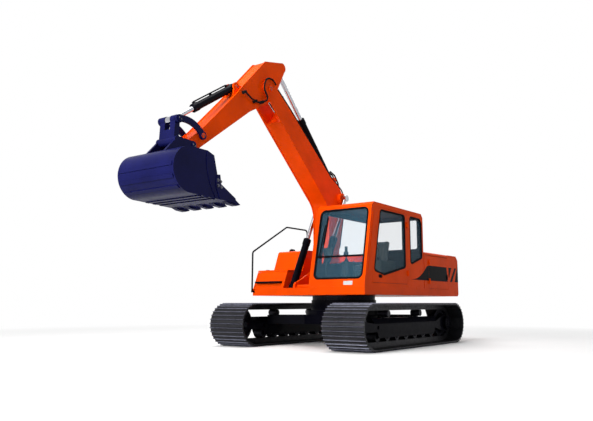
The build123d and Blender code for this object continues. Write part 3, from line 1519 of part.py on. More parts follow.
# Hydraulic cylinders: tube with its base eye and gland, rod with its eye, in tabled sizes
cylinder_wall = 12.0
gland_length = 110.0
tube_pipe_gap = 14.0
columns = ("name", "base", "head", "tube", "radius", "rod", "tail", "eye", "rod_eye", "offsets")
cylinders = (
    ("boom_cylinder", boom_cylinder_foot, boom_cylinder_head, 1060.0, boom_tube_radius, 42.0,
     840.0, cylinder_eye_width / 2, cylinder_eye_width / 2,
     (boom_cylinder_spacing / 2, -boom_cylinder_spacing / 2)),
    ("arm_cylinder", arm_cylinder_foot, arm_cylinder_head, 1480.0, arm_tube_radius, 44.0,
     780.0, arm_tube_radius, cylinder_eye_width / 2, (0.0,)),
    ("bucket_cylinder", bucket_cylinder_foot, link_top_pin, 1080.0, bucket_tube_radius, 40.0,
     700.0, bucket_tube_radius, rod_eye_half, (0.0,)),
)
for row in cylinders:
    cylinder = dict(zip(columns, row))
    angle = bearing(cylinder["base"], cylinder["head"])
    span = distance(cylinder["base"], cylinder["head"])
    eye_radius = cylinder["radius"] + 4
    bore_radius = cylinder["radius"] - cylinder_wall
    with BuildPart() as tube:
        for offset_y in cylinder["offsets"]:
            plane = link_plane(cylinder["base"], angle, boom_y + offset_y)
            with BuildSketch(plane):
                Circle(eye_radius)
                Circle(cylinder_pin_radius + pin_clearance, mode=Mode.SUBTRACT)
            extrude(amount=cylinder["eye"], both=True)
            across = Plane(
                origin=plane.from_local_coords(Vector(0, 0, 0)), x_dir=plane.z_dir, z_dir=plane.x_dir
            )
            with BuildSketch(across.offset(eye_radius - 12)):
                Circle(cylinder["radius"])
            extrude(amount=cylinder["tube"] - eye_radius + 12)
            with BuildSketch(across.offset(cylinder["tube"] - gland_length)):
                Circle(cylinder["radius"] + 9)
            extrude(amount=gland_length)
            with BuildSketch(across.offset(eye_radius + 15)):
                Circle(bore_radius)
            extrude(amount=cylinder["tube"] - gland_length - eye_radius - 15, mode=Mode.SUBTRACT)
            with BuildSketch(across.offset(cylinder["tube"] - gland_length)):
                Circle(cylinder["rod"] + pin_clearance)
            extrude(amount=gland_length, mode=Mode.SUBTRACT)
            pipe_rise = cylinder["radius"] + tube_pipe_gap + pipe_radius
            pipe_start = eye_radius + 80
            pipe_length = cylinder["tube"] - gland_length / 2 - pipe_start
            with BuildSketch(plane):
                for share in (0.0, 0.5, 1.0):
                    with Locations((pipe_start + share * pipe_length, pipe_rise - pipe_radius - 4)):
                        Rectangle(clamp_length, 2 * pipe_radius + tube_pipe_gap)
            extrude(amount=pipe_radius + 4, both=True)
            with BuildSketch(across.offset(pipe_start)):
                with Locations((0, -pipe_rise)):
                    RegularPolygon(pipe_radius, 8)
            extrude(amount=pipe_length)
    label = cylinder["name"] + ("_tubes" if len(cylinder["offsets"]) > 1 else "_tube")
    save(tube.part, label)
    with BuildPart() as rod:
        for offset_y in cylinder["offsets"]:
            plane = link_plane(cylinder["head"], angle, boom_y + offset_y)
            with BuildSketch(plane):
                Circle(eye_radius - 8)
            extrude(amount=cylinder["rod_eye"], both=True)
            across = Plane(
                origin=plane.from_local_coords(Vector(0, 0, 0)), x_dir=plane.z_dir, z_dir=plane.x_dir
            )
            with BuildSketch(across.offset(cylinder["tail"] - span)):
                Circle(cylinder["rod"])
            extrude(amount=span - cylinder["tail"])
    label = cylinder["name"] + ("_rods" if len(cylinder["offsets"]) > 1 else "_rod")
    save(rod.part, label)
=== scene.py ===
"""Crawler excavator: finishes and surface detail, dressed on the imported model.

Lengths are metres.  +X points forward, +Y to the machine's left, +Z up.
"""
import json
from math import cos, pi, radians, sin

import bmesh
import bpy
from bpy.props import FloatProperty, FloatVectorProperty, PointerProperty
from mathutils import Matrix, Vector


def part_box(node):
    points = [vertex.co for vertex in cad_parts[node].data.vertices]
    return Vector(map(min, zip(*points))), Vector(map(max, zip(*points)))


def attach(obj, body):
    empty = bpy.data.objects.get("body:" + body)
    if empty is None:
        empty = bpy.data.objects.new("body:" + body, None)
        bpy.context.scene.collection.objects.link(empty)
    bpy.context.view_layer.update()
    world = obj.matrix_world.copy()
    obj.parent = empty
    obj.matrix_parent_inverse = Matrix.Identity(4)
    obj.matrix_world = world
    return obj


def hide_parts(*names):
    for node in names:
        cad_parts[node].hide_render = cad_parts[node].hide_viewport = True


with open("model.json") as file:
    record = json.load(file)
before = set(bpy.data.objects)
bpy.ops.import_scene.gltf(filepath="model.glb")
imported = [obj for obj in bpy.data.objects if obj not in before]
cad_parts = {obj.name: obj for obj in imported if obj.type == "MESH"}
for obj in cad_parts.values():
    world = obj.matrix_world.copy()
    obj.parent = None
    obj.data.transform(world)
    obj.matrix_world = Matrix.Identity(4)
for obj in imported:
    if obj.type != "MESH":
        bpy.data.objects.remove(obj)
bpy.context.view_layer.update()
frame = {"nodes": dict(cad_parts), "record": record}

bl_info = {
    "name": "Crawler excavator",
    "version": (1, 0, 0),
    "blender": (4, 5, 0),
    "location": "View3D > Sidebar > Excavator",
    "description": "Dresses the packed crawler excavator with finishes and surface detail",
    "category": "Add Mesh",
}

# The studio: half the floor's side, where its shadow fades out, how much light it throws back,
# the round wall's distance, height and number of sides, and the point that the lights face
FLOOR_HALF = 60.0
FLOOR_FADE = (4.8, 13.0)
FLOOR_BOUNCE = 0.5
WALL_REACH = 55.0
WALL_HEIGHT = 60.0
WALL_SIDES = 64
LIGHTS_AIM = Vector((0.0, 0.0, 1.8))

# Specular level of paint, plastic and rubber, low enough to keep blacks black in a white room
DULL_SHINE = 0.015

# Depth under the lugs' outermost line at which the rub and the painted highlight begin and are full
CREST_WEAR_AND_HIGHLIGHT = (0.016, 0.004)

# The counterweight's curved back, counted from the swing axis
TAIL_RADIUS = 3.2225
TAIL_CENTER_X = 0.4225
TAIL_CORNER_ANGLE = radians(25.75)
TAIL_CORNER_X = -2.480


def low(node):
    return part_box(node)[0]


def high(node):
    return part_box(node)[1]


def center_of(node):
    return (low(node) + high(node)) / 2


def rectangle(first, last, foot, top):
    """Four corners in the order that the panes use, along and up."""
    return [(first, foot), (last, foot), (last, top), (first, top)]


SWING_X = center_of("swing_ring").x
HOUSE_LEFT = high("counterweight").y
CAB_FRONT = high("cab_shell").x
CAB_REAR = low("cab_shell").x
CAB_RIGHT = low("cab_shell").y
ROOF_TOP = high("cab_shell").z
DECK_TOP = low("cab_shell").z


def from_swing(x, y, z):
    """A point counted from the swing axis, in the row frame."""
    return Vector((SWING_X + x, y, z))


# The cab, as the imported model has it: (x, z) of the sides, (y, z) of the screen and the rear window,
# counted from the swing axis
CAB_WALL = 0.055
GLASS_INSET = 0.018
SCREEN_FOOT = (1.588, 1.190)
SCREEN_HEAD = (1.300, 2.505)
SCREEN_LEFT = 1.320
SCREEN_RIGHT = 0.372
SCREEN_SPLIT = 1.6086
SCREEN = rectangle(SCREEN_RIGHT, SCREEN_LEFT, 1.235, 2.440)
SCREEN_RADIUS = 0.075
WINDOW_RADIUS = 0.045
CORNER_STEPS = 6
DOOR_WINDOW = [(1.240, 1.370), (0.890, 1.310), (0.070, 1.470), (0.070, 2.420), (0.985, 2.420)]
SIDE_WINDOW = [(-0.180, 1.545), (-0.180, 2.420), (-0.600, 2.415), (-0.655, 2.345), (-0.655, 1.685)]
RIGHT_WINDOW = [(1.270, 1.495), (1.010, 2.420), (-0.620, 2.420), (-0.620, 1.645)]
REAR_WINDOW = rectangle(0.377, 1.285, 1.860, 2.440)

# The markings, counted from the swing axis.  The sweep creeps up from its tip, climbs and rounds
# over, as (x, share of its height), and is cut at the seam before the side door.
SWEEP_FOOT = 1.240
SWEEP_TOP = 1.540
DOOR_SEAM = -0.9785
SEAM_GAP = 0.0025
SWEEP_RISE = (
    (-0.161, 0.0), (-0.300, 0.03), (-0.420, 0.10), (-0.560, 0.25), (-0.690, 0.47),
    (-0.790, 0.70), (-0.860, 0.88), (-0.925, 0.98), (DOOR_SEAM + SEAM_GAP, 1.0),
)
DOOR_SWEEP = [
    (DOOR_SEAM - SEAM_GAP, SWEEP_TOP), (-1.860, SWEEP_TOP),
    (-1.912, SWEEP_FOOT), (DOOR_SEAM - SEAM_GAP, SWEEP_FOOT),
]
STRIPES = (
    [(-1.965, 1.330), (-1.990, 1.330), (-2.125, SWEEP_TOP), (-1.965, SWEEP_TOP)],
    [(-2.030, SWEEP_FOOT), (-2.140, SWEEP_FOOT), (-2.385, SWEEP_TOP), (-2.290, SWEEP_TOP)],
)

# The patch at the tail: its front and the height there, its climb and its top, how many of the
# corner's steps it goes round, and how far the flat markings start over the paint
PATCH_FRONT = -2.290
PATCH_EDGE = 0.01
PATCH_SLOPE = 2.1
PATCH_TOP = 1.660
PATCH_STEPS = 6
TAIL_STEPS = 24
LAY = 0.0002

# Trim counted from the swing axis: the handle (x, z), the ribs' ends and distances from the screen's
# line, the front plate (y, z), the roof's studs (x, y, depth sunk) and the side doors' latches
HANDLE = Vector((1.034, 1.264))
HANDLE_PAN = Vector((0.0745, 0.0305))
RIB_FOOT = 1.300
RIB_HEAD = 2.380
RIB_PLACES = (0.051, 0.081)
FRONT_PLATE = rectangle(0.98, 1.16, 1.105, 1.172)
PLATE_BOLTS = ((0.992, 1.1385), (1.148, 1.1385))
ROOF_STUDS = ((1.05, 1.28, 0.006), (-0.55, 1.28, 0.018), (1.05, 0.40, 0.006), (-0.55, 0.40, 0.018))
LATCH_X = -1.875

# Side cutters' bolts, (x, z) from the bucket's pin
CUTTER_BOLTS = ((-0.118, -0.560), (-0.122, -0.640), (-0.178, -0.575), (-0.190, -0.655))

# On the tank: caps (x, y); tread bars: the first one's (x, y), their pitch and number
FILLER_CAPS = ((0.12, -1.18), (-0.62, -1.10))
TREAD_START = (-0.78, -1.24)
TREAD_PITCH = (0.14, 0.12)
TREAD_COUNT = (8, 4)

# The vent's mesh: upright and level wires, how far they stay off the door's ends, and their pitch
WIRES = (26, 19)
WIRE = 0.003
WIRE_MARGIN = 0.18
WIRE_PITCH = 0.023

# The seat's pads: how they are remeshed and blown up, their edges, and the channels sewn into them
BACK_LEAN = radians(14)
PAD_VOXEL = 0.006
PAD_PRESSURE = 4.0
PAD_FRAMES = 20
PAD_EDGE = 0.026
CHANNEL_PLACE = 0.27
CHANNEL_HALF = 0.016
CHANNEL_DEPTH = 0.009


def screen_x(z):
    """Where the leaning windscreen's outer face lies at a height."""
    share = (z - SCREEN_FOOT[1]) / (SCREEN_HEAD[1] - SCREEN_FOOT[1])
    return SCREEN_FOOT[0] + share * (SCREEN_HEAD[0] - SCREEN_FOOT[0])


class FinishSettings(bpy.types.PropertyGroup):
    """Colours and finish of the machine's painted, bare and moulded surfaces."""

    orange: FloatVectorProperty(
        name="Body paint", description="Orange paint of house, boom and arm",
        default=(0.92, 0.072, 0.0005), size=3, min=0.0, max=1.0, subtype="COLOR",
    )
    navy: FloatVectorProperty(
        name="Bucket paint", description="Dark blue paint of bucket and links",
        default=(0.0055, 0.0065, 0.058), size=3, min=0.0, max=1.0, subtype="COLOR",
    )
    black: FloatVectorProperty(
        name="Chassis paint", description="Black paint of track frames, cylinders and rails",
        default=(0.0025, 0.0025, 0.0055), size=3, min=0.0, max=1.0, subtype="COLOR",
    )
    shoe: FloatVectorProperty(
        name="Shoe steel", description="Dark steel of the track shoes",
        default=(0.010, 0.010, 0.013), size=3, min=0.0, max=1.0, subtype="COLOR",
    )
    paint_gloss: FloatProperty(
        name="Paint coat", description="Weight of the clear coat over the body paint",
        default=0.05, min=0.0, max=1.0, subtype="FACTOR",
    )


class TrimSettings(bpy.types.PropertyGroup):
    """Sizes of the pieces that dress the machine."""

    seal_width: FloatProperty(
        name="Seal width", description="How far a window's rubber seal lies over its frame",
        default=0.030, min=0.012, max=0.045, unit="LENGTH",
    )
    film_thickness: FloatProperty(
        name="Film thickness", description="Thickness of the black markings",
        default=0.0008, min=0.0002, max=0.003, unit="LENGTH",
    )
    pin_bolt: FloatProperty(
        name="Pin bolt", description="Radius of the bolts that keep the pins",
        default=0.008, min=0.004, max=0.012, unit="LENGTH",
    )
    cap_radius: FloatProperty(
        name="Filler cap", description="Radius of the tanks' filler caps",
        default=0.075, min=0.04, max=0.09, unit="LENGTH",
    )
    pad_rise: FloatProperty(
        name="Pad crown", description="How far the seat's pads swell over their flat form",
        default=0.024, min=0.0, max=0.03, unit="LENGTH",
    )


class StageSettings(bpy.types.PropertyGroup):
    """Where the camera stands, and how bright the studio is."""

    camera_x: FloatProperty(
        name="Camera X", description="Camera ahead of the swing axis",
        default=11.052, unit="LENGTH",
    )
    camera_y: FloatProperty(
        name="Camera Y", description="Camera to the left of the middle",
        default=6.822, unit="LENGTH",
    )
    camera_z: FloatProperty(
        name="Camera height", description="Height of the camera over the floor",
        default=0.799, unit="LENGTH",
    )
    heading: FloatProperty(
        name="Heading", description="Direction the camera looks in, from +X",
        default=radians(-144.17), subtype="ANGLE",
    )
    rise: FloatProperty(
        name="Rise", description="How far the camera looks up",
        default=radians(8.16), subtype="ANGLE",
    )
    lens: FloatProperty(
        name="Lens", description="Focal length on a 36 mm sensor, in millimetres",
        default=39.14, min=10.0, max=200.0,
    )
    key_power: FloatProperty(
        name="Key light", description="Power of the large light ahead of the machine",
        default=2100.0, min=0.0, unit="POWER",
    )
    world_strength: FloatProperty(
        name="World light", description="Strength of the even light from all round",
        default=0.26, min=0.0,
    )


def feed(tree, value, socket):
    """Links another socket's value on, or sets a plain one."""
    if isinstance(value, bpy.types.NodeSocket):
        tree.links.new(value, socket)
    elif socket.type == "RGBA":
        socket.default_value = (*value, 1.0)
    else:
        socket.default_value = value


def node_of(tree, kind, inputs=None, **settings):
    """A new shader node with its settings, its inputs linked or set."""
    node = tree.nodes.new("ShaderNode" + kind)
    for name, value in settings.items():
        setattr(node, name, value)
    for key, value in (inputs or {}).items():
        feed(tree, value, node.inputs[key])
    return node


def base_material(name, color, metallic, roughness, shine=0.5):
    """A new material with its node tree, its shader and the row frame's coordinates."""
    material = bpy.data.materials.new(name)
    material.use_nodes = True
    tree = material.node_tree
    shader = tree.nodes["Principled BSDF"]
    shader.inputs["Base Color"].default_value = (*color, 1.0)
    shader.inputs["Metallic"].default_value = metallic
    shader.inputs["Roughness"].default_value = roughness
    shader.inputs["Specular IOR Level"].default_value = shine
    return material, tree, shader, place_in_object(tree)


def place_in_object(tree):
    """Where a point lies in the row frame, which every piece keeps as its own axes."""
    return node_of(tree, "TexCoord").outputs["Object"]


def noise(tree, vector, scale, detail, roughness=0.55):
    """Soft noise between 0 and 1."""
    inputs = {"Vector": vector, "Scale": scale, "Detail": detail, "Roughness": roughness}
    return node_of(tree, "TexNoise", inputs).outputs["Fac"]


def ramp(tree, factor, stops):
    """A colour ramp; stops are (position, colour) pairs, the colour a grey value or three values."""
    node = node_of(tree, "ValToRGB", {"Fac": factor})
    elements = node.color_ramp.elements
    while len(elements) < len(stops):
        elements.new(0.5)
    for element, (position, color) in zip(elements, stops):
        element.position = position
        shade = (color,) * 3 if isinstance(color, (int, float)) else color
        element.color = (*shade, 1.0)
    return node.outputs["Color"]


def mix_color(tree, factor, first, second):
    return node_of(tree, "Mix", {0: factor, 6: first, 7: second}, data_type="RGBA").outputs[2]


def calculate(tree, operation, *values):
    return node_of(tree, "Math", dict(enumerate(values)), operation=operation).outputs[0]


def length_of(tree, vector):
    return node_of(tree, "VectorMath", {0: vector}, operation="LENGTH").outputs["Value"]


def spread(tree, value, low_end=0.0, high_end=1.0, start=0.0):
    """The value spread from start to 1 between two ends, and held there beyond them."""
    inputs = {"Value": value, "From Min": low_end, "From Max": high_end, "To Min": start}
    return node_of(tree, "MapRange", inputs).outputs["Result"]


def bump(tree, shader, height, strength, distance):
    """Raises the shader's surface by a height map."""
    node = node_of(tree, "Bump", {"Strength": strength, "Distance": distance, "Height": height})
    feed(tree, node.outputs["Normal"], shader.inputs["Normal"])


def inside_of(tree, place, limits):
    """1 where the place lies between the limits, (direction, low, high) each, and 0 elsewhere."""
    tests = []
    for direction, lowest, highest in limits:
        along = node_of(tree, "VectorMath", {0: place, 1: direction}, operation="DOT_PRODUCT")
        for operation, limit in (("GREATER_THAN", lowest), ("LESS_THAN", highest)):
            tests.append(calculate(tree, operation, along.outputs["Value"], limit))
    inside = tests[0]
    for test in tests[1:]:
        inside = calculate(tree, "MULTIPLY", inside, test)
    return inside


def paint_with_lining_and_shade(name, color, lining_and_shade_color, limits, coat):
    """Body paint outside, and a dull dark colour where the limits say inside the cab: partly its
    lining, partly painted shade.
    """
    material = painted_steel(name, color, 0.30, coat)
    tree = material.node_tree
    shader = tree.nodes["Principled BSDF"]
    inside = inside_of(tree, place_in_object(tree), limits)
    for socket_name, inner in (("Base Color", lining_and_shade_color), ("Roughness", (0.8, 0.8, 0.8))):
        socket = shader.inputs[socket_name]
        feed(tree, mix_color(tree, inside, socket.links[0].from_socket, inner), socket)
    return material


def painted_steel(name, color, roughness, coat, patch=0.10, dust=0.004):
    """Sprayed paint: faint blotches, dust that gathers in broad patches and an orange-peel skin."""
    material, tree, shader, place = base_material(name, color, 0.0, roughness, DULL_SHINE)
    dark = tuple(c * (1 - patch) for c in color)
    pale = tuple(min(1.0, c * (1 + patch)) for c in color)
    blotches = ramp(tree, noise(tree, place, 2.3, 5.0), [(0.3, dark), (0.7, pale)])
    film = ramp(tree, noise(tree, place, 9.0, 8.0, 0.7), [(0.55, 0.0), (0.85, 0.25)])
    dusty = tuple(c * 0.7 + dust for c in color)
    feed(tree, mix_color(tree, film, blotches, dusty), shader.inputs["Base Color"])
    rough = [(0.25, roughness * 0.8), (0.8, roughness * 1.35)]
    feed(tree, ramp(tree, noise(tree, place, 14.0, 6.0), rough), shader.inputs["Roughness"])
    shader.inputs["Coat Weight"].default_value = coat
    shader.inputs["Coat Roughness"].default_value = 0.08
    bump(tree, shader, noise(tree, place, 260.0, 2.0), 0.06, 0.001)
    return material


def worn_steel(name, color, shine, roughness=0.45, metallic=0.75):
    """Dark steel whose high spots are rubbed bright and whose hollows hold dull dirt."""
    material, tree, shader, place = base_material(name, color, metallic, roughness)
    rubbed = ramp(tree, noise(tree, place, 22.0, 9.0, 0.7), [(0.48, 0.0), (0.72, 1.0)])
    dirt = ramp(tree, noise(tree, place, 5.0, 6.0, 0.6), [(0.45, 0.0), (0.75, 0.6)])
    metal = mix_color(tree, rubbed, color, shine)
    dull = tuple(c * 0.5 + 0.008 for c in color)
    feed(tree, mix_color(tree, dirt, metal, dull), shader.inputs["Base Color"])
    rough = [(0.3, roughness * 0.7), (0.75, min(1.0, roughness * 1.5))]
    feed(tree, ramp(tree, noise(tree, place, 30.0, 6.0), rough), shader.inputs["Roughness"])
    bump(tree, shader, noise(tree, place, 120.0, 6.0, 0.65), 0.25, 0.002)
    return material


def lug_steel(name, color, shine):
    """Dark steel of the shoes, lighter and steel-blue on the lugs' crests: partly rubbed where they
    meet the ground, partly a painted highlight.
    """
    material, tree, shader, place = base_material(name, color, 0.6, 0.45)
    center = center_of("track_left")
    half = high("track_left") - center
    split = node_of(tree, "SeparateXYZ", {0: place})
    # How far the place lies from the line between the centres of the two bends
    reach = calculate(tree, "ABSOLUTE", calculate(tree, "SUBTRACT", split.outputs["X"], center.x))
    reach = calculate(tree, "MAXIMUM", calculate(tree, "SUBTRACT", reach, half.x - half.z), 0.0)
    rise = calculate(tree, "SUBTRACT", split.outputs["Z"], center.z)
    aside = node_of(tree, "CombineXYZ", {"X": reach, "Z": rise})
    worn_and_highlit_crest = spread(tree, length_of(tree, aside.outputs[0]), half.z - CREST_WEAR_AND_HIGHLIGHT[0], half.z - CREST_WEAR_AND_HIGHLIGHT[1])
    patchy = ramp(tree, noise(tree, place, 14.0, 6.0, 0.6), [(0.25, 0.35), (0.65, 1.0)])
    # Wear and painted highlight: the crests lean towards the pale steel-blue colour, in patches
    rubbed = calculate(tree, "MULTIPLY", worn_and_highlit_crest, patchy)
    dusty = tuple(c * 1.8 + 0.004 for c in color)
    dirt = ramp(tree, noise(tree, place, 6.0, 6.0, 0.6), [(0.40, color), (0.75, dusty)])
    feed(tree, mix_color(tree, rubbed, dirt, shine), shader.inputs["Base Color"])
    rough = ramp(tree, noise(tree, place, 30.0, 6.0), [(0.3, 0.35), (0.75, 0.7)])
    feed(tree, rough, shader.inputs["Roughness"])
    bump(tree, shader, noise(tree, place, 120.0, 6.0, 0.65), 0.2, 0.002)
    return material


def ground_chrome(name):
    """Polished piston rod with faint rings of wiper marks and an oil film."""
    material, tree, shader, place = base_material(name, (0.45, 0.46, 0.49), 1.0, 0.12)
    film = ramp(tree, noise(tree, place, 18.0, 4.0), [(0.35, 0.07), (0.75, 0.22)])
    feed(tree, film, shader.inputs["Roughness"])
    shades = [(0.3, (0.38, 0.39, 0.43)), (0.7, (0.52, 0.52, 0.54))]
    tint = ramp(tree, noise(tree, place, 6.0, 3.0), shades)
    feed(tree, tint, shader.inputs["Base Color"])
    bump(tree, shader, noise(tree, place, 90.0, 2.0), 0.02, 0.0005)
    return material


def tinted_glass(name, color):
    """Thin safety glass with a blue-green tint and a trace of dust."""
    material, tree, shader, place = base_material(name, color, 0.0, 0.02, 0.7)
    shader.inputs["IOR"].default_value = 1.5
    shader.inputs["Alpha"].default_value = 0.065
    haze = ramp(tree, noise(tree, place, 3.0, 5.0), [(0.4, 0.02), (0.8, 0.10)])
    feed(tree, haze, shader.inputs["Roughness"])
    pale = tuple(c * 1.25 for c in color)
    tone = ramp(tree, noise(tree, place, 1.2, 2.0), [(0.3, color), (0.7, pale)])
    feed(tree, tone, shader.inputs["Base Color"])
    return material


def moulded_plastic(name, color, roughness=0.55):
    """Moulded plastic with a fine grain."""
    material, tree, shader, place = base_material(name, color, 0.0, roughness, DULL_SHINE)
    dark = tuple(c * 0.85 for c in color)
    tone = ramp(tree, noise(tree, place, 12.0, 4.0), [(0.3, dark), (0.7, color)])
    feed(tree, tone, shader.inputs["Base Color"])
    bump(tree, shader, noise(tree, place, 700.0, 2.0), 0.20, 0.0006)
    return material


def black_rubber(name, color=(0.010, 0.010, 0.011)):
    """Matt rubber of hoses, seals and boots, a little bloomed."""
    material, tree, shader, place = base_material(name, color, 0.0, 0.6, DULL_SHINE)
    pale = tuple(c + 0.008 for c in color)
    bloom = ramp(tree, noise(tree, place, 25.0, 6.0), [(0.45, color), (0.85, pale)])
    feed(tree, bloom, shader.inputs["Base Color"])
    bump(tree, shader, noise(tree, place, 300.0, 3.0), 0.15, 0.0006)
    return material


def woven_fabric(name, color):
    """Seat cloth: crossed threads, with a soft sheen."""
    material, tree, shader, place = base_material(name, color, 0.0, 0.85)
    heights = []
    for direction in ("X", "Z"):
        inputs = {"Vector": place, "Scale": 160.0, "Distortion": 0.6}
        wave = node_of(tree, "TexWave", inputs, wave_type="BANDS", bands_direction=direction)
        heights.append(wave.outputs["Fac"])
    weave = calculate(tree, "MULTIPLY", *heights)
    deep, raised = tuple(c * 0.6 for c in color), tuple(c * 1.5 for c in color)
    thread = ramp(tree, weave, [(0.0, deep), (1.0, raised)])
    feed(tree, thread, shader.inputs["Base Color"])
    shader.inputs["Sheen Weight"].default_value = 0.3
    bump(tree, shader, weave, 0.4, 0.001)
    return material


MATERIALS = {}
NODES_WITH_LINING_AND_SHADE = {"cab_shell": "cab_paint", "cab_door": "door_paint"}

# The dark lining and painted shade of the cab cover what lies behind the panes at the sides and in
# front, and the inner faces of the roof, floor and rear wall, whose outer edges are chamfered:
# direction, lowest, highest
LINING_AND_SHADE_DEPTH = GLASS_INSET + 0.002
WALL_DEPTH = CAB_WALL - 0.0015
SCREEN_OUT = Vector((SCREEN_HEAD[1] - SCREEN_FOOT[1], 0.0, SCREEN_FOOT[0] - SCREEN_HEAD[0]))
SCREEN_OUT.normalize()
ACROSS, UPWARD, AHEAD = Vector((0, 1, 0)), Vector((0, 0, 1)), Vector((1, 0, 0))
SCREEN_PLANE = SCREEN_OUT.dot(from_swing(SCREEN_FOOT[0], 0.0, SCREEN_FOOT[1]))
CAB_INSIDE = (
    (AHEAD, CAB_REAR + WALL_DEPTH, CAB_FRONT),
    (SCREEN_OUT, CAB_REAR, SCREEN_PLANE - LINING_AND_SHADE_DEPTH),
    (ACROSS, CAB_RIGHT + LINING_AND_SHADE_DEPTH, HOUSE_LEFT - LINING_AND_SHADE_DEPTH),
    (UPWARD, DECK_TOP + WALL_DEPTH, ROOF_TOP - WALL_DEPTH),
)
DOOR_INSIDE = ((ACROSS, 0.0, HOUSE_LEFT - LINING_AND_SHADE_DEPTH),)


class EXCAVATOR_OT_finishes(bpy.types.Operator):
    """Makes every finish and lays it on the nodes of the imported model."""

    bl_idname = "excavator.finishes"
    bl_label = "Finishes"

    def execute(self, context):
        look = context.scene.excavator_finish
        # Near-black inside the cab and door: partly their lining, partly painted shade
        cab_lining_and_shade, gloss = (0.020, 0.022, 0.024), look.paint_gloss
        MATERIALS.update(
            orange_paint=painted_steel("Orange paint", look.orange, 0.30, gloss),
            cab_paint=paint_with_lining_and_shade("Cab paint", look.orange, cab_lining_and_shade, CAB_INSIDE, gloss),
            door_paint=paint_with_lining_and_shade("Door paint", look.orange, cab_lining_and_shade, DOOR_INSIDE, gloss),
            navy_paint=painted_steel("Navy paint", look.navy, 0.34, 0.10, 0.25, 0.002),
            black_paint=painted_steel("Black paint", look.black, 0.40, 0.05, 0.25, 0.002),
            # The shoes' crest colour, pale steel-blue: rubbed steel and a painted highlight
            shoe_steel=lug_steel("Shoe steel", look.shoe, (0.17, 0.175, 0.235)),
            wheel_steel=worn_steel("Wheel steel", (0.006, 0.006, 0.010), (0.03, 0.03, 0.05), 0.5),
            rod_chrome=ground_chrome("Ground chrome"),
            engine_steel=worn_steel("Engine steel", (0.16, 0.17, 0.18), (0.35, 0.36, 0.38), 0.6, 0.5),
            window_glass=tinted_glass("Window glass", (0.20, 0.50, 0.75)),
            seat_fabric=woven_fabric("Cushion cloth", (0.035, 0.045, 0.045)),
            cab_plastic=moulded_plastic("Cab plastic", (0.040, 0.050, 0.045)),
            hose_rubber=black_rubber("Hose rubber"),
            seal_rubber=black_rubber("Seal rubber", (0.006, 0.006, 0.007)),
            decal_film=moulded_plastic("Decal film", (0.004, 0.004, 0.005), 0.35),
            bolt_steel=worn_steel("Bolt steel", (0.10, 0.10, 0.12), (0.40, 0.40, 0.45), 0.35, 0.9),
            plate_white=moulded_plastic("Plate face", (0.70, 0.70, 0.70), 0.4),
        )
        for row in frame["record"]["subparts"]:
            part = frame["nodes"][row["node"]]
            part.data.materials.clear()
            part.data.materials.append(MATERIALS[NODES_WITH_LINING_AND_SHADE.get(row["node"], row["material_slot"])])
        return {"FINISHED"}


def show(name, data):
    shown = bpy.data.objects.new(name, data)
    bpy.context.scene.collection.objects.link(shown)
    return shown


def mesh_of(name, built):
    mesh = bpy.data.meshes.new(name)
    built.to_mesh(mesh)
    built.free()
    return mesh


def piece(name, built, material, body):
    """A finished piece from a bmesh, riding on a body of the machine."""
    bmesh.ops.recalc_face_normals(built, faces=built.faces)
    shown = show(name, mesh_of(name, built))
    shown.data.materials.append(MATERIALS[material])
    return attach(shown, body)


def smooth(shown, angle=radians(40)):
    """Rounds the shading of a piece, but not over its sharp edges."""
    for polygon in shown.data.polygons:
        polygon.use_smooth = True
    shown.data.set_sharp_from_angle(angle=angle)
    return shown


def rounded_loop(corners, radius, grow=0.0):
    """The points of a closed outline with round corners, moved outward by grow."""
    turning = sum(a[0] * b[1] - b[0] * a[1] for a, b in zip(corners, corners[1:] + corners[:1]))
    hand = 1.0 if turning > 0 else -1.0
    points = []
    for index, corner in enumerate(corners):
        tip = Vector(corner)
        before = (Vector(corners[index - 1]) - tip).normalized()
        after = (Vector(corners[(index + 1) % len(corners)]) - tip).normalized()
        half = before.angle(after) / 2
        center = tip + (before + after).normalized() * (radius / sin(half))
        start = Vector((-before.y, before.x)) * hand
        finish_side = Vector((after.y, -after.x)) * hand
        sweep = start.angle_signed(finish_side)
        for step in range(CORNER_STEPS + 1):
            turn = Matrix.Rotation(-sweep * step / CORNER_STEPS, 2)
            points.append(center + (turn @ start) * (radius + grow))
    return points


def lay_strip(built, loops, closed=True):
    """Joins rows of points with quads, row after row."""
    rows = [[built.verts.new(point) for point in loop] for loop in loops]
    count = len(rows[0])
    for first, second in zip(rows, rows[1:]):
        for index in range(count if closed else count - 1):
            after = (index + 1) % count
            built.faces.new((first[index], first[after], second[after], second[index]))
    return rows


def lay_slab(built, outline, place, thickness, base=0.0):
    """A flat plate of an outline; place turns (along, up, out) into a point."""
    rows = lay_strip(built, [[place(u, v, base) for u, v in outline],
                             [place(u, v, base + thickness) for u, v in outline]])
    built.faces.new(rows[0])
    built.faces.new(rows[1])


def lay_disc(built, place, radius, depth, sides, top=None, turn=Matrix()):
    """A round plate about its middle, or a cone where the upper radius is given."""
    bmesh.ops.create_cone(
        built, cap_ends=True, segments=sides, radius1=radius, radius2=radius if top is None else top,
        depth=depth, matrix=Matrix.Translation(place) @ turn,
    )


def lay_bolt(built, place, outward, radius, height, sides=6):
    """A hexagon head on a round washer."""
    turn = Vector(outward).to_track_quat("Z", "Y").to_matrix().to_4x4()
    out = Vector(outward).normalized()
    washer = height * 0.3
    lay_disc(built, Vector(place) + out * (washer / 2), radius * 1.5, washer, 16, turn=turn)
    head = Vector(place) + out * (washer + height / 2)
    lay_disc(built, head, radius, height, sides, radius * 0.94, turn)


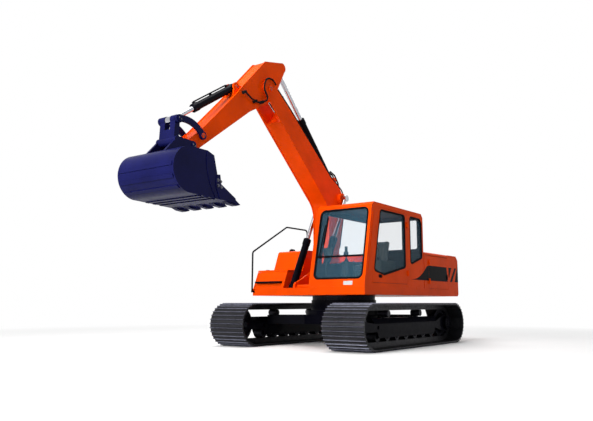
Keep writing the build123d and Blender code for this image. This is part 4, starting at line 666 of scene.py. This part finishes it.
def lay_block(built, middle, size, bevel=0.004, segments=2):
    """A box with rounded edges."""
    start = set(built.verts)
    place = Matrix.Translation(middle) @ Matrix.Diagonal((*size, 1.0))
    bmesh.ops.create_cube(built, size=1.0, matrix=place)
    edges = [edge for edge in built.edges if not start & set(edge.verts)]
    bmesh.ops.bevel(built, geom=edges, offset=bevel, segments=segments, affect="EDGES", profile=0.5)


def bar(foot, head, width):
    """Four corners of a straight bar between two points, its ends level."""
    half = width / 2
    return [
        (foot[0] - half, foot[1]), (foot[0] + half, foot[1]),
        (head[0] + half, head[1]), (head[0] - half, head[1]),
    ]


def on_left(x, z, out):
    return from_swing(x, HOUSE_LEFT + out, z)


def on_right(x, z, out):
    return from_swing(x, -HOUSE_LEFT - out, z)


def on_right_of_cab(x, z, out):
    return from_swing(x, CAB_RIGHT - out, z)


def on_rear_of_cab(y, z, out):
    return Vector((CAB_REAR - out, y, z))


def on_screen(y, z, out):
    return from_swing(screen_x(z) + out, y, z)


def on_sill(y, z, out):
    """A place on the face under the windscreen, which leans back a little."""
    share = (z - DECK_TOP) / (SCREEN_FOOT[1] - DECK_TOP)
    return Vector((CAB_FRONT + share * (SWING_X + SCREEN_FOOT[0] - CAB_FRONT) + out, y, z))


class EXCAVATOR_OT_windows(bpy.types.Operator):
    """Rubber seals round every window, the bar between the front panes and the wiper."""

    bl_idname = "excavator.windows"
    bl_label = "Windows"

    def execute(self, context):
        # Outward from the window's edge, out from the face
        wide = context.scene.excavator_trim.seal_width
        profile = (
            (wide, 0.0), (wide - 0.002, 0.004), (wide - 0.010, 0.0055), (0.002, 0.004),
            (-0.004, -0.002), (-0.004, -GLASS_INSET),
        )
        # name, corners, corner radius, face, body
        seals = (
            ("windscreen_seal", SCREEN, SCREEN_RADIUS, on_screen, "house"),
            ("side_window_seal", SIDE_WINDOW, WINDOW_RADIUS, on_left, "house"),
            ("right_window_seal", RIGHT_WINDOW, WINDOW_RADIUS, on_right_of_cab, "house"),
            ("rear_window_seal", REAR_WINDOW, WINDOW_RADIUS, on_rear_of_cab, "house"),
            ("door_window_seal", DOOR_WINDOW, WINDOW_RADIUS, on_left, "cab_door"),
        )
        for name, corners, radius, face, body in seals:
            built = bmesh.new()
            lay_strip(built, [
                [face(u, v, out) for u, v in rounded_loop(corners, radius, grow)]
                for grow, out in profile
            ])
            smooth(piece(name, built, "seal_rubber", body))
        built = bmesh.new()
        half = 0.016
        across = rectangle(SCREEN_RIGHT, SCREEN_LEFT, SCREEN_SPLIT - half, SCREEN_SPLIT + half)
        lay_slab(built, across, on_screen, 0.012, -GLASS_INSET)
        piece("windscreen_bar", built, "seal_rubber", "house")
        make_wiper()
        return {"FINISHED"}


def make_wiper():
    """One arm and blade that park upright beside the right pillar."""
    foot, tip = (0.430, SCREEN_SPLIT), (0.485, SCREEN_SPLIT + 0.58)
    blade_foot, blade_head = (tip[0] + 0.002, tip[1] - 0.36), (tip[0] + 0.032, tip[1] + 0.14)
    built = bmesh.new()
    lay_slab(built, bar(foot, tip, 0.018), on_screen, 0.008, 0.010)
    lay_slab(built, bar(blade_foot, blade_head, 0.016), on_screen, 0.028, -GLASS_INSET)
    lay_bolt(built, on_screen(*foot, -0.007), (1, 0, 0.2), 0.022, 0.020, 12)
    smooth(piece("wiper", built, "seal_rubber", "house"))


class EXCAVATOR_OT_decals(bpy.types.Operator):
    """The black sweep along the left side, and the stripes and patches round the tail."""

    bl_idname = "excavator.decals"
    bl_label = "Decals"

    def execute(self, context):
        film = context.scene.excavator_trim.film_thickness
        height = SWEEP_TOP - SWEEP_FOOT
        front = [(x, SWEEP_FOOT + share * height) for x, share in SWEEP_RISE]
        front.append((DOOR_SEAM + SEAM_GAP, SWEEP_FOOT))
        sweeps = (("house_sweep", front, "house"), ("door_sweep", DOOR_SWEEP, "left_side_door"))
        for name, outline, body in sweeps:
            built = bmesh.new()
            lay_slab(built, outline, on_left, film, LAY)
            piece(name, built, "decal_film", body)
        built = bmesh.new()
        for face in (on_left, on_right):
            for outline in STRIPES:
                lay_slab(built, outline, face, film, LAY)
        piece("tail_stripes", built, "decal_film", "house")
        reach = TAIL_RADIUS + film
        line = [(x, HOUSE_LEFT + film) for x in (PATCH_FRONT, -2.350, -2.410, TAIL_CORNER_X)]
        for step in range(1, PATCH_STEPS + 1):
            turn = TAIL_CORNER_ANGLE * (1 - step / TAIL_STEPS)
            line.append((TAIL_CENTER_X - reach * cos(turn), reach * sin(turn)))
        built = bmesh.new()
        for side in (1, -1):
            rows = []
            for x, y in line:
                top = min(SWEEP_FOOT + PATCH_EDGE + (PATCH_FRONT - x) * PATCH_SLOPE, PATCH_TOP)
                rows.append([from_swing(x, side * y, z) for z in (SWEEP_FOOT, top)])
            lay_strip(built, rows, closed=False)
        piece("tail_patches", built, "decal_film", "house")
        return {"FINISHED"}


class EXCAVATOR_OT_cab_trim(bpy.types.Operator):
    """Door handle, blank plate, pillar ribs, roof studs, and what shows through the glass."""

    bl_idname = "excavator.cab_trim"
    bl_label = "Cab trim"

    def execute(self, context):
        built = bmesh.new()
        lay_block(built, on_left(*HANDLE, -0.006), (0.100, 0.010, 0.026))
        lay_block(built, on_left(HANDLE.x - 0.045, HANDLE.y, -0.009), (0.018, 0.010, 0.036))
        pan_low, pan_high = HANDLE - HANDLE_PAN, HANDLE + HANDLE_PAN
        pan = rounded_loop(rectangle(pan_low.x, pan_high.x, pan_low.y, pan_high.y), 0.030)
        lay_slab(built, pan, on_left, 0.002, -0.0138)
        smooth(piece("door_handle", built, "seal_rubber", "cab_door"))
        built = bmesh.new()
        for behind in RIB_PLACES:
            foot, head = ((screen_x(z) - behind, z) for z in (RIB_FOOT, RIB_HEAD))
            lay_slab(built, bar(foot, head, 0.012), on_left, 0.006, -0.001)
        piece("pillar_ribs", built, "orange_paint", "house")
        built = bmesh.new()
        lay_slab(built, rounded_loop(FRONT_PLATE, 0.008), on_sill, 0.0025, -0.0005)
        for y, z in PLATE_BOLTS:
            lay_bolt(built, on_sill(y, z, 0.001), (1, 0, 0), 0.004, 0.003)
        smooth(piece("front_plate", built, "plate_white", "house"))
        built = bmesh.new()
        for x, y, sunk in ROOF_STUDS:
            lay_bolt(built, from_swing(x, y, ROOF_TOP - sunk), (0, 0, 1), 0.018, 0.012)
        piece("roof_studs", built, "black_paint", "house")
        make_cab_fittings()
        return {"FINISHED"}


def make_cab_fittings():
    """The display on its stalk, the floor mat and the boots of the two levers."""
    floor_z = DECK_TOP + CAB_WALL
    stalk = 1.70 - floor_z
    built = bmesh.new()
    lay_block(built, from_swing(1.20, 0.42, 1.72), (0.035, 0.20, 0.15), 0.010, 3)
    lay_block(built, from_swing(1.23, 0.40, floor_z + stalk / 2), (0.028, 0.028, stalk), 0.006)
    lay_block(built, from_swing(0.62, 0.83, floor_z + 0.0025), (1.50, 0.94, 0.006), 0.002)
    smooth(piece("cab_fittings", built, "cab_plastic", "house"))
    built = bmesh.new()
    taper, fold = 0.007, 0.013
    for y in (0.486, 1.176):
        foot = from_swing(0.680, y, floor_z + 0.431)
        for ring in range(5):
            place = foot + Vector((0, 0, 0.007 + fold * ring))
            lay_disc(built, place, 0.052 - taper * ring, 0.014, 20, 0.044 - taper * ring)
    smooth(piece("lever_boots", built, "seal_rubber", "house"))


class EXCAVATOR_OT_seat(bpy.types.Operator):
    """The driver's seat: a crowned cushion and a leaning backrest, each with two sewn channels."""

    bl_idname = "excavator.seat"
    bl_label = "Driver's seat"

    def execute(self, context):
        rise = context.scene.excavator_trim.pad_rise
        seat_x = SWING_X + 0.380
        seat_y, seat_z = center_of("seat_cushions").y, low("seat_cushions").z
        # name, x and z from the cushions' foot, size, lean
        pads = (
            ("seat_pad", 0.005, 0.061, (0.50, 0.48, 0.125), 0.0),
            ("back_pad", -0.284, 0.328, (0.115, 0.44, 0.50), -BACK_LEAN),
        )
        for name, x, z, size, lean in pads:
            shown = make_pad(name, Vector((seat_x + x, seat_y, seat_z + z)), size, lean, rise)
            if name == "seat_pad":
                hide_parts("seat_cushions")
        return {"FINISHED"}


def remeshed(mesh):
    """The same form in even voxels, as cloth needs it."""
    shown = show("Pad form", mesh)
    remesh = shown.modifiers.new("Remesh", "REMESH")
    remesh.mode = "VOXEL"
    remesh.voxel_size = PAD_VOXEL
    fine = bpy.data.meshes.new_from_object(shown.evaluated_get(bpy.context.evaluated_depsgraph_get()))
    shown.modifiers.remove(remesh)
    shown.data = fine
    return shown


def swell(shown, rise):
    """Blows the pad up as cloth, and scales the movement down to what a firm cushion allows."""
    cloth = shown.modifiers.new("Cloth", "CLOTH")
    cloth.settings.use_pressure = True
    cloth.settings.uniform_pressure_force = PAD_PRESSURE
    cloth.settings.effector_weights.gravity = 0.0
    scene = bpy.context.scene
    for step in range(1, PAD_FRAMES + 1):
        scene.frame_set(step)
    blown = shown.evaluated_get(bpy.context.evaluated_depsgraph_get())
    pairs = zip(blown.to_mesh().vertices, shown.data.vertices)
    moves = [after.co - before.co for after, before in pairs]
    blown.to_mesh_clear()
    shown.modifiers.remove(cloth)
    scene.frame_set(1)
    largest = max(move.length for move in moves)
    if largest > rise:
        moves = [move * (rise / largest) for move in moves]
    for vertex, move in zip(shown.data.vertices, moves):
        vertex.co += move


def make_pad(name, middle, size, lean, rise):
    """A cushion: flat where it rests, crowned on the other side and sewn along two lines."""
    thin = min(range(3), key=lambda axis: size[axis])
    flat = list(size)
    flat[thin] -= rise
    built = bmesh.new()
    lay_block(built, Vector((0, 0, 0)), flat, PAD_EDGE, 4)
    form = remeshed(mesh_of(name + "_form", built))
    swell(form, rise)
    rest = flat[thin] / 2
    for vertex in form.data.vertices:
        place = vertex.co
        place[thin] = max(place[thin], -rest)
        if place[thin] > 0:
            aside = abs(abs(place.y) - CHANNEL_PLACE * size[1]) / CHANNEL_HALF
            place[thin] -= CHANNEL_DEPTH * max(0.0, 1 - aside * aside) * place[thin] / rest
        place[thin] -= rise / 2
    built = bmesh.new()
    built.from_mesh(form.data)
    bmesh.ops.smooth_vert(
        built, verts=built.verts, factor=0.5, use_axis_x=True, use_axis_y=True, use_axis_z=True,
    )
    built.transform(Matrix.Translation(middle) @ Matrix.Rotation(lean, 4, "Y"))
    bpy.data.objects.remove(form)
    return smooth(piece(name, built, "seat_fabric", "house"), radians(70))


class EXCAVATOR_OT_fasteners(bpy.types.Operator):
    """Bolts that keep the pins, on the hubs' covers and on the bucket's side cutters."""

    bl_idname = "excavator.fasteners"
    bl_label = "Fasteners"

    def execute(self, context):
        bolt_radius = context.scene.excavator_trim.pin_bolt
        # joint, body, distance of the pin's end from the boom's middle, ring radius, bolts
        pins = (
            ("arm", "boom", 0.220, 0.027, 3), ("boom", "house", 0.248, 0.030, 4),
            ("bucket", "bucket", 0.221, 0.024, 2), ("guide_links", "arm", 0.203, 0.024, 2),
            ("bucket_link", "guide_links", 0.215, 0.024, 2), ("arm_cylinder", "boom", 0.111, 0.022, 2),
            ("bucket_cylinder", "arm", 0.105, 0.022, 2), ("boom_cylinder", "house", 0.366, 0.022, 2),
        )
        for joint, body, reach, ring, count in pins:
            built = bmesh.new()
            for side in (1, -1):
                middle = joint_place(joint) + Vector((0, side * reach, 0))
                ring_of_bolts(built, middle, side, ring, count, bolt_radius, 0.007, 0.4)
            piece(joint + "_pin_bolts", built, "bolt_steel", body)
        make_hub_covers()
        make_cutter_bolts()
        return {"FINISHED"}


def joint_place(name):
    joints = frame["record"]["behaviour"]["joints"]
    return Vector(next(joint["pos_m"] for joint in joints if joint["name"] == name))


def ring_of_bolts(built, middle, side, radius, count, bolt_radius, height, start=0.0):
    """Bolts round a point, their heads towards a side."""
    for bolt in range(count):
        turn = 2 * pi * bolt / count + start
        head = middle + Vector((radius * cos(turn), 0, radius * sin(turn)))
        lay_bolt(built, head, (0, side, 0), bolt_radius, height)


def make_hub_covers():
    """Covers with a ring of bolts on the idlers' axles and the travel motors."""
    axle_z = center_of("front_idlers").z
    # x, face, cover radius, bolts, bolt radius
    covers = (
        (center_of("front_idlers").x, high("track_frame_left").y, 0.078, 6, 0.010),
        (center_of("travel_motors").x, high("travel_motors").y, 0.118, 12, 0.009),
    )
    sunk = 0.0005
    turn = Matrix.Rotation(pi / 2, 4, "X")
    built = bmesh.new()
    for x, face, radius, count, bolt_radius in covers:
        for side in (1, -1):
            for wide, deep in ((radius, 0.006), (radius * 0.45, 0.014)):
                place = Vector((x, side * (face + deep / 2 - sunk), axle_z))
                lay_disc(built, place, wide, deep, 36, turn=turn)
            middle = Vector((x, side * (face + 0.005), axle_z))
            ring_of_bolts(built, middle, side, radius * 0.78, count, bolt_radius, 0.008)
    smooth(piece("hub_covers", built, "black_paint", "undercarriage"))


def make_cutter_bolts():
    """Four bright bolts on each side cutter of the bucket."""
    built = bmesh.new()
    pivot = joint_place("bucket")
    face = (high("bucket").y - low("bucket").y) / 2
    for side in (1, -1):
        for x, z in CUTTER_BOLTS:
            head = pivot + Vector((x, side * (face - 0.0005), z))
            lay_bolt(built, head, (0, side, 0), 0.016, 0.014)
    piece("cutter_bolts", built, "bolt_steel", "bucket")


class EXCAVATOR_OT_house_trim(bpy.types.Operator):
    """Filler caps, the latches of doors and lid, tread strips on the tank and the vent's mesh."""

    bl_idname = "excavator.house_trim"
    bl_label = "House trim"

    def execute(self, context):
        make_filler_caps(context.scene.excavator_trim.cap_radius)
        # name, side, height, body
        latches = (
            ("left_door_latch", 1, 1.330, "left_side_door"),
            ("right_door_latch", -1, 1.180, "right_side_door"),
        )
        for name, side, z, body in latches:
            built = bmesh.new()
            for out, size in ((0.004, (0.070, 0.010, 0.110)), (0.011, (0.034, 0.010, 0.074))):
                lay_block(built, from_swing(LATCH_X, side * (HOUSE_LEFT + out), z), size)
            smooth(piece(name, built, "seal_rubber", body))
        built = bmesh.new()
        # The lid's hinge stands over its face
        latch_x, latch_z = high("toolbox_lid").x - 0.06, high("toolbox_lid").z - 0.0285
        for y in (-1.20, -0.92):
            lay_block(built, Vector((latch_x, y, latch_z)), (0.05, 0.06, 0.010), 0.003)
        smooth(piece("lid_latches", built, "black_paint", "toolbox_lid"))
        make_tread_strips()
        make_vent_mesh()
        return {"FINISHED"}


def make_filler_caps(radius):
    """The caps of the two tanks' fillers, each with a grip across it."""
    top = high("fuel_tank").z
    built = bmesh.new()
    for x, y in FILLER_CAPS:
        for wide, deep, lift in ((radius, 0.016, 0.008), (radius * 0.8, 0.034, 0.030)):
            lay_disc(built, from_swing(x, y, top + lift), wide, deep, 28, wide * 0.96)
        lay_block(built, from_swing(x, y, top + 0.052), (radius * 1.2, 0.022, 0.014))
    smooth(piece("filler_caps", built, "black_paint", "house"))


def make_tread_strips():
    """Rows of short bars to tread on, on the tank's top."""
    top = high("fuel_tank").z
    built = bmesh.new()
    for row in range(TREAD_COUNT[1]):
        for column in range(TREAD_COUNT[0]):
            x, y = TREAD_START[0] + TREAD_PITCH[0] * column, TREAD_START[1] + TREAD_PITCH[1] * row
            lay_block(built, from_swing(x, y, top + 0.001), (0.050, 0.012, 0.006), 0.002, 1)
    piece("tread_strips", built, "black_paint", "house")


def make_vent_mesh():
    """Upright and level wires in the vent of the right side door."""
    door = "right_side_door"
    center = center_of(door)
    first, last = low(door).x + WIRE_MARGIN, high(door).x - WIRE_MARGIN
    uprights, levels = WIRES
    built = bmesh.new()
    for wire in range(uprights):
        x = first + wire * (last - first) / (uprights - 1)
        lay_block(built, Vector((x, 0.034 - HOUSE_LEFT, center.z)), (WIRE, WIRE, 0.42), 0.0008, 1)
    for wire in range(levels):
        z = center.z + (wire - levels // 2) * WIRE_PITCH
        size = (last - first + 0.02, WIRE, WIRE)
        lay_block(built, Vector((center.x, 0.036 - HOUSE_LEFT, z)), size, 0.0008, 1)
    piece("vent_mesh", built, "black_paint", door)


class EXCAVATOR_OT_stage(bpy.types.Operator):
    """Lays the pale floor, hangs the soft lights and stands the camera in its place."""

    bl_idname = "excavator.stage"
    bl_label = "Stage"

    def execute(self, context):
        stage = context.scene.excavator_stage
        lay_floor(stage.world_strength)
        hang_backdrop(stage.heading, stage.world_strength)
        light_world(context.scene, stage.world_strength)
        # name, place, size, power
        lights = (
            ("Key light", (13.2, -0.8, 6.0), 7.0, stage.key_power),
            ("Top light", (1.0, -1.0, 13.0), 9.0, stage.key_power * 0.62),
            ("Side light", (3.0, 12.0, 5.0), 6.0, stage.key_power * 0.05),
            ("Back light", (-9.0, -6.0, 8.0), 6.0, stage.key_power * 0.22),
        )
        for name, place, size, power in lights:
            soft_light(name, place, size, power)
        stand_camera(context.scene, stage)
        context.scene.view_settings.view_transform = "Standard"
        return {"FINISHED"}


def eye_strength(tree, plain):
    """Strength 1 for what the eye meets, also by way of metal or glass, and the plain one else."""
    rays = node_of(tree, "LightPath")
    seen = rays.outputs["Is Camera Ray"]
    for name in ("Is Glossy Ray", "Is Transmission Ray"):
        seen = calculate(tree, "MAXIMUM", seen, rays.outputs[name])
    return spread(tree, seen, start=plain)


def lay_floor(plain):
    """A pale floor that keeps the shadow near the machine and fades into the backdrop's white."""
    corners = rectangle(-FLOOR_HALF, FLOOR_HALF, -FLOOR_HALF, FLOOR_HALF)
    mesh = bpy.data.meshes.new("Floor")
    mesh.from_pydata([(x, y, 0) for x, y in corners], [], [(0, 1, 2, 3)])
    floor = show("Floor", mesh)
    material, tree, shader, place = base_material("Floor paint", (0.86, 0.86, 0.86), 0.0, 0.8, 0.1)
    tone = ramp(tree, noise(tree, place, 0.4, 3.0), [(0.3, 0.87), (0.7, 0.90)])
    share = eye_strength(tree, FLOOR_BOUNCE)
    feed(tree, mix_color(tree, share, (0.0, 0.0, 0.0), tone), shader.inputs["Base Color"])
    glow = node_of(tree, "Emission", {"Strength": eye_strength(tree, plain)})
    far = spread(tree, length_of(tree, place), *FLOOR_FADE)
    blend = node_of(tree, "MixShader", {0: far, 1: shader.outputs[0], 2: glow.outputs[0]})
    feed(tree, blend.outputs[0], tree.nodes["Material Output"].inputs["Surface"])
    floor.data.materials.append(material)


def hang_backdrop(heading, plain):
    """A white wall all round the machine, one corner of it straight behind as the camera sees it."""
    built = bmesh.new()
    turns = [heading + 2 * pi * step / WALL_SIDES for step in range(WALL_SIDES)]
    lay_strip(built, [
        [Vector((WALL_REACH * cos(turn), WALL_REACH * sin(turn), z)) for turn in turns]
        for z in (-0.5, WALL_HEIGHT)
    ])
    backdrop = show("Backdrop", mesh_of("Backdrop", built))
    material = bpy.data.materials.new("Backdrop white")
    material.use_nodes = True
    tree = material.node_tree
    tree.nodes.remove(tree.nodes["Principled BSDF"])
    glow = node_of(tree, "Emission", {"Strength": eye_strength(tree, plain)})
    feed(tree, glow.outputs[0], tree.nodes["Material Output"].inputs["Surface"])
    backdrop.data.materials.append(material)


def light_world(scene, strength):
    """Even white light from all round."""
    world = bpy.data.worlds.new("Studio")
    world.use_nodes = True
    sky = world.node_tree.nodes["Background"]
    sky.inputs["Color"].default_value = (1.0, 1.0, 1.0, 1.0)
    sky.inputs["Strength"].default_value = strength
    scene.world = world


def soft_light(name, place, size, power):
    """A square area light that faces the machine's middle."""
    lamp = bpy.data.lights.new(name, "AREA")
    lamp.shape = "SQUARE"
    lamp.size = size
    lamp.energy = power
    light = show(name, lamp)
    light.location = place
    light.rotation_euler = (LIGHTS_AIM - light.location).to_track_quat("-Z", "Y").to_euler()


def stand_camera(scene, stage):
    """The camera of the photograph."""
    camera = show("Camera", bpy.data.cameras.new("Camera"))
    camera.data.sensor_width = 36.0
    camera.data.lens = stage.lens
    camera.data.clip_end = 200.0
    camera.location = from_swing(stage.camera_x, stage.camera_y, stage.camera_z)
    look = Vector((
        cos(stage.rise) * cos(stage.heading), cos(stage.rise) * sin(stage.heading), sin(stage.rise),
    ))
    camera.rotation_euler = look.to_track_quat("-Z", "Y").to_euler()
    scene.camera = camera


class EXCAVATOR_PT_panel(bpy.types.Panel):
    """Lists the sizes and colours, and a button for each group of pieces."""

    bl_label = "Excavator"
    bl_space_type = "VIEW_3D"
    bl_region_type = "UI"
    bl_category = "Excavator"

    def draw(self, context):
        scene = context.scene
        for settings in (scene.excavator_finish, scene.excavator_trim, scene.excavator_stage):
            for name in settings.bl_rna.properties.keys():
                if name not in ("rna_type", "name"):
                    self.layout.prop(settings, name)
        for operator in OPERATORS:
            self.layout.operator(operator.bl_idname)


SETTINGS = (FinishSettings, TrimSettings, StageSettings)
OPERATORS = (
    EXCAVATOR_OT_finishes, EXCAVATOR_OT_windows, EXCAVATOR_OT_decals, EXCAVATOR_OT_cab_trim,
    EXCAVATOR_OT_seat, EXCAVATOR_OT_fasteners, EXCAVATOR_OT_house_trim, EXCAVATOR_OT_stage,
)


def register():
    for item in (*SETTINGS, *OPERATORS, EXCAVATOR_PT_panel):
        bpy.utils.register_class(item)
    bpy.types.Scene.excavator_finish = PointerProperty(type=FinishSettings)
    bpy.types.Scene.excavator_trim = PointerProperty(type=TrimSettings)
    bpy.types.Scene.excavator_stage = PointerProperty(type=StageSettings)


def unregister():
    del bpy.types.Scene.excavator_stage
    del bpy.types.Scene.excavator_trim
    del bpy.types.Scene.excavator_finish
    for item in reversed((*SETTINGS, *OPERATORS, EXCAVATOR_PT_panel)):
        bpy.utils.unregister_class(item)


def main():
    register()
    for operator in OPERATORS:
        group, name = operator.bl_idname.split(".")
        getattr(getattr(bpy.ops, group), name)()


if __name__ == "__main__":
    main()
